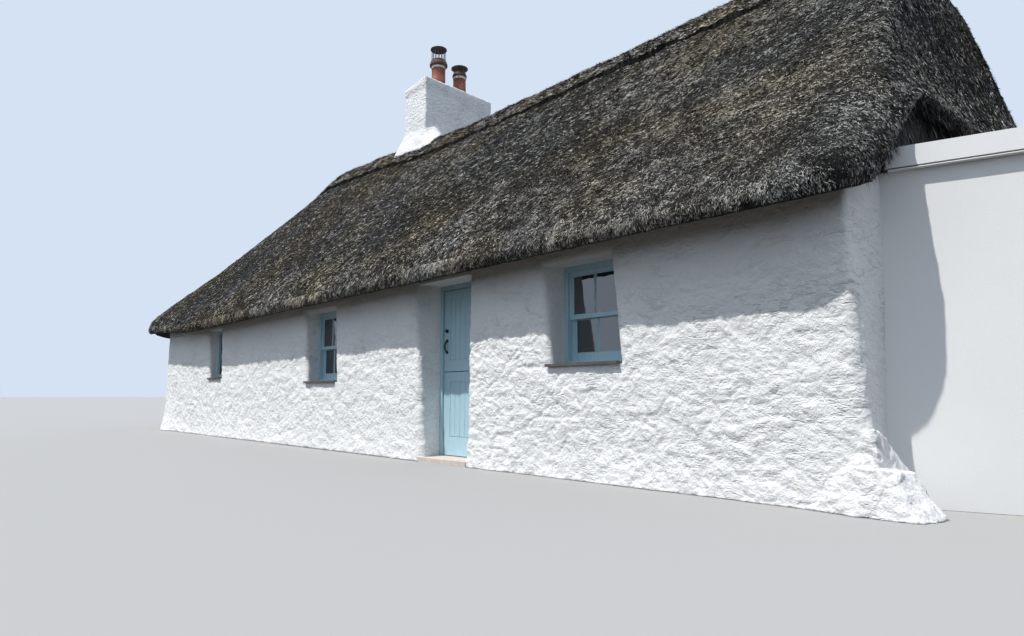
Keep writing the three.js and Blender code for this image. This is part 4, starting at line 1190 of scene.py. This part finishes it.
def boards(kind, body):
    """Upright boards with V grooves between them, in the sunk panel on both faces of a door leaf."""
    low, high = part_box(f"door_{kind}_leaf")
    foot, head = LEAF_RAILS[kind]
    x = np.array([low.x + STILE, low.x + LEAF_WIDTH - STILE])
    z = np.array([low.z + foot, high.z - head])
    joints = np.linspace(*x, BOARDS + 1)[1:-1, None] + np.array([-GROOVE, -0.0008, 0.0008, GROOVE])
    across = np.array([x[0] + 0.0006, x[0] + GROOVE, *joints.ravel(), x[1] - GROOVE, x[1] - 0.0006])
    sunk = np.array([1, 0, *([0, 1, 1, 0] * (BOARDS - 1)), 0, 1]) * (PANEL_RECESS - 0.0015)
    rows = np.array([[z[0] + 0.007], [z[1] - 0.007]])
    surface = Surface()
    for face, inward in ((low.y, 1), (low.y + 0.045, -1)):
        points = stacked(across, face + inward * (0.0012 + sunk), rows)
        numbers = surface.grid(points, flip=inward < 0)
        back = points[:, [-1, 0]].copy()
        back[..., 1] = face + inward * (PANEL_RECESS - 0.0003)
        behind = surface.add_points(back)
        surface.join(np.concatenate([numbers[:, -1:], behind, numbers[:, :1]], axis=1), flip=inward < 0)
        surface.cap([*numbers[0], *behind[0]], flip=inward > 0)
        surface.cap([*numbers[-1], *behind[-1]], flip=inward < 0)
    surface.build(f"{kind}_leaf_boards", body, [BLUE_PAINT], smooth=False)


WING_ANGLE = math.radians(17.4)
WING_START = (X_RIGHT, Y_FRONT + 0.53)
WING_RUN = (-0.28, 3.3)
WING_WALL = 0.3
WING_HEIGHT = 2.25
WING_EDGE = 0.004


def wing_points(u, v, z):
    """Points of the wing's frame: u along its front wall from the gable, v back and z up."""
    sine, cosine = math.sin(WING_ANGLE), math.cos(WING_ANGLE)
    return stacked(WING_START[0] + u * cosine - v * sine, WING_START[1] + u * sine + v * cosine, z)


def add_wing_wall():
    """The wing's front wall, run on into the gable so that no slot shows: a box of grids, faintly waved."""
    u = ticks(WING_RUN, 0.12)
    z = ticks([0.0, WING_EDGE, WING_HEIGHT - WING_EDGE, WING_HEIGHT], 0.12)
    loop_u = np.concatenate([u, u[::-1]])
    loop_v = np.repeat([0, WING_WALL], len(u))
    flat = wing_points(loop_u, loop_v, z[:, None])
    wave = 0.004 * fractal(flat, 0.9, 2, 61) * (loop_v < WING_WALL)
    offset = np.array([math.sin(WING_ANGLE), -math.cos(WING_ANGLE), 0])
    surface = Surface()
    surface.shell(flat + offset * (wave - 0.002)[..., None])
    piece = surface.build("extension_front_face", HOUSE, [SMOOTH_RENDER])
    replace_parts(piece, "extension_front_wall")


def add_wing_soffit():
    """The white board under the flat roof's overhang, along the front."""
    u = ticks([0.005, 3.33], 0.4)
    v = np.array([-0.054, -0.054, -0.001, -0.001])
    z = np.array([2.2495, 2.243, 2.243, 2.2495])
    surface = Surface()
    surface.shell(wing_points(u[:, None], v, z))
    surface.build("extension_soffit", HOUSE, [WHITE_PAINT], smooth=False)


add_footing()
add_chimney()
add_pots()
add_cowls()
add_glazing()
boards("upper", UPPER_LEAF)
boards("lower", LOWER_LEAF)
add_wing_wall()
add_wing_soffit()

# Thatch

COURSE_SIZE = np.array([1.6, 0.22, 0.22])
SLOPE_DELTA = 0.006
EDGE_MARGIN = 0.008


def tufts(points):
    """How far the thatch stands out from its swells: shallow hollows, brushed courses along it, and tufts."""
    courses = noise(points, COURSE_SIZE, 71)
    return 0.005 * noise(points, 0.6, 73) + 0.003 * courses + 0.009 * fractal(points, 0.07, 3, 75)


def thatch_normals(x, y):
    """Upward normals of the undisplaced thatch, from its height's differences either side."""
    delta = SLOPE_DELTA
    slope_x = (worn_top(x + delta, y) - worn_top(x - delta, y)) / (2 * delta)
    slope_y = (worn_top(x, y + delta) - worn_top(x, y - delta)) / (2 * delta)
    return unit(stacked(-slope_x, -slope_y, 1.0))


def thatch_surface(x, y):
    """Displaced points and the normals of the thatch over plan points."""
    flat = stacked(x, y, worn_top(x, y))
    inner_x = np.clip(x, EAVES_LEFT + EDGE_MARGIN, EAVES_RIGHT - EDGE_MARGIN)
    inner_y = np.clip(y, -EAVES_BACK + EDGE_MARGIN, EAVES_BACK - EDGE_MARGIN)
    normal = thatch_normals(inner_x, inner_y)
    return flat + normal * tufts(flat)[..., None], normal


def graded(low, high, first, last):
    """Numbers from low to high whose steps grow evenly from the first to the last."""
    count = math.ceil(2 * (high - low) / (first + last))
    steps = np.linspace(first, last, count)
    return low + np.concatenate([[0], np.cumsum(steps)]) * (high - low) / steps.sum()


ROOF_X = EAVES_RIGHT - graded(0, EAVES_RIGHT - EAVES_LEFT, 0.022, 0.085)[::-1]
ROOF_Y = np.concatenate([ticks([-EAVES_BACK, 0], 0.034), ticks([0, EAVES_BACK], 0.085)[1:]])
UNDER_INSETS = [0.0, 0.03, 0.08, 0.15, 0.25, 0.36, 0.5, 0.72, 1.05]
NOSE_ROWS = 8
ATTIC_ENDS = (EAVES_LEFT + 3.4, EAVES_RIGHT - 2.6)
ATTIC_RIDGE = 4.7
TONE_LIMITS = (-9, 0.44, 0.64, 0.84, 9)
EYE = (9.5, -7.2)
FRONT_SPLIT = 4.1
END_SPLIT = 6.7
LOWEST_STRAND = 2.35


def rim(rows, columns):
    """Row and column numbers round the edge of a grid, anticlockwise from its first corner."""
    return (np.concatenate([0 * columns[:-1], rows[:-1], 0 * columns[1:] + rows[-1], rows[:0:-1]]),
            np.concatenate([columns[:-1], 0 * rows[:-1] + columns[-1], columns[:0:-1], 0 * rows[1:]]))


def eaves_point(x, y, share):
    """Points of the blunt edge between the thatch's top (share 0) and its lip (share 1), swelling by half a
    sine, and their outward directions in plan."""
    bulge = NOSE * np.sin(math.pi * share) ** 0.8
    px, py = roof_plan(x, y)
    top, low = worn_top(px, py), thatch_underside(px, py)
    wide = np.where(x <= EAVES_LEFT + TOLERANCE, x - NOSE, x)
    wide = np.where(x >= EAVES_RIGHT - TOLERANCE, x + NOSE, wide)
    deep = np.where(np.abs(y) >= EAVES_BACK - TOLERANCE, y * (1 + NOSE / EAVES_BACK), y)
    out_x, out_y = roof_plan(wide, deep, NOSE)
    outward = unit(stacked(out_x - px, out_y - py))
    z = top + (low - top) * share
    return stacked(px + outward[..., 0] * bulge, py + outward[..., 1] * bulge, z), outward


def add_thatch():
    """The thatch: its top on a grid over the rounded plan, a blunt edge that swells between top and lip, an
    underside of rings that run in to the walls, and four flat attic slopes inside."""
    x, y = np.meshgrid(ROOF_X, ROOF_Y)
    surface = Surface()
    points, _ = thatch_surface(*roof_plan(x, y))
    numbers = surface.grid(points)
    rows, columns = rim(np.arange(len(ROOF_Y)), np.arange(len(ROOF_X)))
    edge_x, edge_y = ROOF_X[columns], ROOF_Y[rows]
    share = np.linspace(0, 1, NOSE_ROWS + 1)[1:-1, None]
    edge, outward = eaves_point(edge_x, edge_y, share)
    top_relief = tufts(points[rows, columns])
    relief = tufts(edge) * 0.8 * np.sin(math.pi * share) ** 0.5 + top_relief * (1 - share)
    edge[..., :2] += outward * relief[..., None]
    edge[..., 2] += 0.6 * (1 - share) * top_relief
    rings = [numbers[rows, columns][None], surface.add_points(edge)]
    middle = (EAVES_RIGHT + EAVES_LEFT) / 2
    for inset in UNDER_INSETS:
        shrink_x = 1 - 2 * inset / (EAVES_RIGHT - EAVES_LEFT)
        px, py = roof_plan(middle + (edge_x - middle) * shrink_x, edge_y * (1 - inset / EAVES_BACK))
        flat = stacked(px, py, thatch_underside(px, py))
        flat[:, 2] += 0.6 * tufts(flat) * (inset < 0.3)
        rings.append(surface.add_points(flat)[None])
    surface.join(np.concatenate(rings), around=True, flip=True)
    loop = np.append(rings[-1][0], rings[-1][0, 0])
    wide, deep = len(ROOF_X) - 1, len(ROOF_Y) - 1
    corners = [0, wide, wide + deep, 2 * wide + deep, 2 * (wide + deep)]
    left, right = surface.add_points([(x, 0, ATTIC_RIDGE) for x in ATTIC_ENDS])
    ridges = ((right, left), (right,), (left, right), (left,))
    for (start, stop), ridge in zip(itertools.pairwise(corners), ridges):
        surface.cap([*loop[start:stop + 1], *ridge], flip=True)
    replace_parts(surface.build("thatch_bed", HOUSE, [THATCH_BED]), "thatch_roof")


def blades(name, roots, normals, sizes, rng, spread=0.85, pale=0.47, lift=0.16):
    """Flat reed ends, each one a thin triangle from a sunk root to its tip. They lie close down the slope,
    turned either way from clump to clump and by up to the spread in radians, and rolled about their length.
    Their tone is the paleness with clumps and chance added, and more low down towards the right end."""
    count = len(roots)
    down = unit(normals * normals[:, 2:] - (0, 0, 1))
    across = np.cross(down, normals)
    turn = rng.normal(0, spread, (count, 1)) + 0.9 * noise(roots, 0.12, 97)[:, None]
    along = down * np.cos(turn) + across * np.sin(turn)
    roll = rng.normal(0, 0.4, (count, 1))
    flat = np.cross(along, normals)
    side = flat * np.cos(roll) + normals * np.sin(roll)
    length, width = sizes
    raised = rng.uniform(0.0, lift, (count, 1))
    start = roots - normals * 0.002
    tip = start + along * length[:, None] + normals * (raised * length[:, None] + 0.003)
    half = side * width[:, None] / 2
    surface = Surface()
    numbers = surface.add_points(np.stack([start - half, start + half, tip], axis=1))
    clumps = 0.24 * fractal(roots, 0.13, 3, 95) + 0.16 * fractal(roots, 1.1, 2, 91)
    near = ease(roots[:, 0], 1.0, 6.5) * (1 - ease(roots[:, 2], 2.4, 3.6))
    tone = pale + clumps + 0.13 * near + rng.normal(0, 0.3, count)
    for k, (low, high) in enumerate(itertools.pairwise(TONE_LIMITS)):
        surface.face_rows(numbers[(tone >= low) & (tone < high)], k)
    surface.build(name, HOUSE, REEDS, smooth=False)


def eye_distance(x, y):
    """Distance in plan from the place of the photograph's camera."""
    return np.hypot(x - EYE[0], y - EYE[1])


def scatter(rng, count, x_range, y_range, keep):
    """Random plan points of the roof, kept in proportion to the slope's area and to a density function."""
    found = []
    total = 0
    while total < count:
        x, y = rng.uniform(*x_range, count), rng.uniform(*y_range, count)
        px, py = roof_plan(x, y)
        points, normals = thatch_surface(px, py)
        chance = np.clip(0.12 * keep(px, py) / np.maximum(normals[:, 2], 0.12), 0, 1)
        chosen = rng.uniform(0, 1, count) < chance
        found.append((points[chosen], normals[chosen]))
        total += chosen.sum()
    return [np.concatenate(rows)[:count] for rows in zip(*found)]


def reed_sizes(rng, points, grow=1.0):
    """Lengths and widths: small near the near corner, longer towards the far end, and slimmer there."""
    far = np.clip(eye_distance(points[:, 0], points[:, 1]), 4.5, 13) * grow
    slim = 1 - 0.45 * ease(far, 8, 13)
    long = 1 - 0.2 * ease(far, 8, 13)
    lengths = rng.uniform(0.0030, 0.0082, len(points)) * far * long
    return lengths, rng.uniform(0.0012, 0.0022, len(points)) * far * slim


def add_slope_reeds(rng):
    """Weathered reed ends over the front slope, the right end and the back, closer together near the eye."""

    def nearness(x, y):
        """Density that falls with the distance from the eye."""
        return 1 / np.clip(eye_distance(x, y) / 6, 0.8, 2.4) ** 1.9

    for name, count, x_range, y_range in (
        ("front_reeds_left", 150000, (EAVES_LEFT, FRONT_SPLIT), (-EAVES_BACK, 0.1)),
        ("front_reeds_right", 130000, (FRONT_SPLIT, END_SPLIT + 0.05), (-EAVES_BACK, 0.1)),
        ("right_end_reeds", 110000, (END_SPLIT, EAVES_RIGHT), (-EAVES_BACK, 0.9 * EAVES_BACK)),
    ):
        points, normals = scatter(rng, count, x_range, y_range, nearness)
        blades(name, points, normals, reed_sizes(rng, points), rng)
    points, normals = scatter(rng, 40000, (EAVES_LEFT, END_SPLIT), (0.0, EAVES_BACK), lambda x, y: 1 + 0 * x)
    blades("back_reeds", points, normals, reed_sizes(rng, points, 1.9), rng)


def add_edge_reeds(rng, count):
    """Reed ends on the blunt edge of the front and the right end, cut short where they would pass the lip."""
    front, right = EAVES_RIGHT - EAVES_LEFT, 2 * EAVES_BACK
    on_front = rng.uniform(0, 1, count) < 0.72
    x = np.where(on_front, EAVES_LEFT + rng.uniform(0, 1, count) ** 0.75 * front, EAVES_RIGHT)
    y = np.where(x < EAVES_RIGHT, -EAVES_BACK, -EAVES_BACK + rng.uniform(0, 1, count) ** 1.5 * right)
    share = rng.uniform(0, 0.93, count)
    edge, outward = eaves_point(x, y, share)
    edge[:, :2] += outward * (0.9 * tufts(edge) + 0.004)[:, None]
    px, py = roof_plan(x, y)
    lip = thatch_underside(px, py)
    rise = 2.5 * NOSE * np.cos(math.pi * share) / np.maximum(worn_top(px, py) - lip, 0.1)
    normal = unit(np.concatenate([outward, rise[:, None]], axis=1))
    length, width = reed_sizes(rng, edge, 0.9)
    length = np.minimum(length, np.maximum(1.1 * (edge[:, 2] - lip), np.where(x < EAVES_RIGHT, 0.012, 0.06)))
    blades("edge_reeds", edge, normal, (length, width), rng, 0.5, 0.5, 0.12)


def add_recess_strands(rng, count):
    """Loose strands under the right end's lip, mostly near black as painted shade of the recess: half hang
    from it, and half lie on the gable below.
    """
    y = rng.uniform(-EAVES_BACK + 0.4, EAVES_BACK - 0.4, count)
    hanging = rng.uniform(0, 1, count) < 0.5
    x = X_RIGHT + np.where(hanging, rng.uniform(0.04, RIGHT_OVERHANG + 0.02, count), 0.04)
    head = thatch_underside(x, y) + 0.01
    fallen = np.where(hanging, 0.0, (head - LOWEST_STRAND) * rng.uniform(0, 1, count) ** 1.5)
    roots = stacked(x, y, head - fallen)
    strands = rng.uniform(0.05, 0.13, count), rng.uniform(0.005, 0.009, count)
    normals = np.tile([1.0, 0.0, 0.0], (count, 1))
    # A paleness of 0.25 makes most strands near black: painted shade of the recess under the lip.
    blades("recess_strands", roots, normals, strands, rng, 0.3, 0.25, 0.3)


def add_reeds():
    """All the reeds of the thatch, from one run of random numbers."""
    rng = np.random.default_rng(5)
    add_slope_reeds(rng)
    add_edge_reeds(rng, 56000)
    add_recess_strands(rng, 9000)


CAP_LEFT = -5.8
CAP_RIGHT = 6.65
CAP_HALF_WIDTH = 0.48
CAP_CREST = 0.05
CAP_FALL = 1.15
CAP_ROUNDING = 0.15


def cap_top(x, y):
    """Height of the ridge cap: a crest over the ridge that falls evenly on both sides from a rounded top."""
    fall = np.hypot(CAP_FALL * y, CAP_ROUNDING) - CAP_ROUNDING
    return thatch_top(x, 0 * x) + CAP_CREST - fall


def cap_surface(x, side):
    """Displaced points and normals of the ridge cap: side runs from -1 at its front edge to 1 at its back
    edge, and the edges are ragged."""
    edge = np.sign(side)
    rag = 0.05 * noise(stacked(x, edge * 3, 0.0), 0.17, 81)
    rag = rag + 0.03 * noise(stacked(x, edge * 5, 0.0), 0.6, 83)
    y = side * (CAP_HALF_WIDTH - 0.03 + rag)
    flat = stacked(x, y, cap_top(x, y))
    slope = CAP_FALL**2 * y / np.hypot(CAP_FALL * y, CAP_ROUNDING)
    normal = unit(stacked(0.0, slope, 1.0))
    bumps = 0.016 * noise(flat, np.array([0.3, 0.5, 0.5]), 85) + 0.009 * fractal(flat, 0.08, 2, 87)
    return flat + normal * bumps[..., None], normal


def add_ridge():
    """The raised ridge: its top on a grid, edges that turn down, and a hidden bottom inside the thatch. The
    edges and bottom take the blackest reed tone, a painted shadow line under the cap.
    """
    x = ticks([CAP_LEFT, CAP_RIGHT], 0.05)[:, None]
    side = np.linspace(-1, 1, 31)
    top, _ = cap_surface(x + 0 * side, side + 0 * x)
    under = top[:, [-1, 0]].copy()
    under[..., 2] = thatch_top(under[..., 0], under[..., 1]) - 0.06
    under[..., 1] *= 0.9
    buried = under.copy()
    buried[..., 1] *= 0.5
    buried[..., 2] -= 0.1
    loop = np.concatenate([top, under[:, :1], buried, under[:, 1:]], axis=1)
    surface = Surface()
    numbers = surface.add_points(loop)
    crest = np.broadcast_to(np.arange(loop.shape[1]) < len(side) - 1, (len(x) - 1, loop.shape[1]))
    surface.join(numbers, around=True, flip=True, keep=crest)
    # Edge and bottom faces take the blackest reed tone: a painted shadow line under the cap.
    surface.join(numbers, around=True, flip=True, keep=~crest, slot=1)
    surface.cap(numbers[0])
    surface.cap(numbers[-1], flip=True)
    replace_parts(surface.build("ridge_bed", HOUSE, [RIDGE_BED, REEDS[0]]), "ridge_cap")
    rng = np.random.default_rng(9)
    count = 50000
    along = rng.uniform(CAP_LEFT, CAP_RIGHT, count)
    side = np.where(rng.uniform(0, 1, count) < 0.8, -1, 1) * rng.uniform(0, 1, count)
    points, normals = cap_surface(along, side)
    blades("ridge_reeds", points, normals, reed_sizes(rng, points), rng, 0.5, 0.66, 0.4)


add_thatch()
add_reeds()
add_ridge()

# Camera, light and floor

CAMERA_PLACE = (9.491, -7.228, 0.718)
CAMERA_AHEAD = (-0.75445, 0.64710, 0.10982)
CAMERA_LENS = 25.14
SUN_FROM = (-0.185, -1.0, 1.77)
SUN_STRENGTH = 4.05
SUN_SIZE = math.radians(0.7)
SUN_COLOR = (1.0, 0.975, 0.94)
FLOOR_COLOR = (0.34, 0.335, 0.33, 1)
SKY =(0.66, 0.76, 0.90)
GROUND_GLOW = (0.10, 0.095, 0.087)
HORIZON_SHIFT = 0.02
FLOOR_SIZE = 8000.0


def add_camera():
    """The camera of the photograph's view, which is level from side to side and looks slightly up."""
    camera = bpy.data.objects.new("camera", bpy.data.cameras.new("camera"))
    camera.data.lens = CAMERA_LENS
    camera.data.sensor_width = 36.0
    camera.data.clip_end = FLOOR_SIZE
    camera.location = CAMERA_PLACE
    camera.rotation_euler = Vector(CAMERA_AHEAD).to_track_quat("-Z", "Y").to_euler()
    bpy.context.scene.collection.objects.link(camera)
    bpy.context.scene.camera = camera


def add_light():
    """A small, hard sun high over the front and a pale blue sky, which is dim below the horizon."""
    sun = bpy.data.objects.new("key", bpy.data.lights.new("key", "SUN"))
    sun.data.energy = SUN_STRENGTH
    sun.data.angle = SUN_SIZE
    sun.data.color = SUN_COLOR
    sun.rotation_euler = Vector(SUN_FROM).to_track_quat("Z", "Y").to_euler()
    bpy.context.scene.collection.objects.link(sun)
    world = bpy.data.worlds.new("surround")
    bpy.context.scene.world = world
    world.use_nodes = True
    nodes, links = world.node_tree.nodes, world.node_tree.links
    direction = nodes.new("ShaderNodeTexCoord").outputs["Generated"]
    split = nodes.new("ShaderNodeSeparateXYZ")
    links.new(direction, split.inputs[0])
    lifted = nodes.new("ShaderNodeMath")
    lifted.inputs[1].default_value = HORIZON_SHIFT
    links.new(split.outputs["Z"], lifted.inputs[0])
    ramp = nodes.new("ShaderNodeValToRGB")
    stops = ((0.0, GROUND_GLOW), (HORIZON_SHIFT - 0.005, SKY))
    for element, (position, color) in zip(ramp.color_ramp.elements, stops):
        element.position, element.color = position, (*color, 1)
    links.new(lifted.outputs[0], ramp.inputs["Fac"])
    links.new(ramp.outputs["Color"], nodes["Background"].inputs["Color"])
    nodes["Background"].inputs["Strength"].default_value = 1.0
    bpy.context.scene.view_settings.view_transform = "Standard"


def add_floor():
    """A plain floor at ground level."""
    half = FLOOR_SIZE / 2
    mesh = bpy.data.meshes.new("floor")
    corners = [(-half, -half, 0), (half, -half, 0), (-half, half, 0), (half, half, 0)]
    mesh.from_pydata(corners, [], [(0, 1, 3, 2)])
    ground = bpy.data.objects.new("floor", mesh)
    mesh.materials.append(Finish("studio_floor", Roughness=0.9, Base_Color=FLOOR_COLOR).material)
    ground.visible_diffuse = False
    bpy.context.scene.collection.objects.link(ground)


add_camera()
add_light()
add_floor()
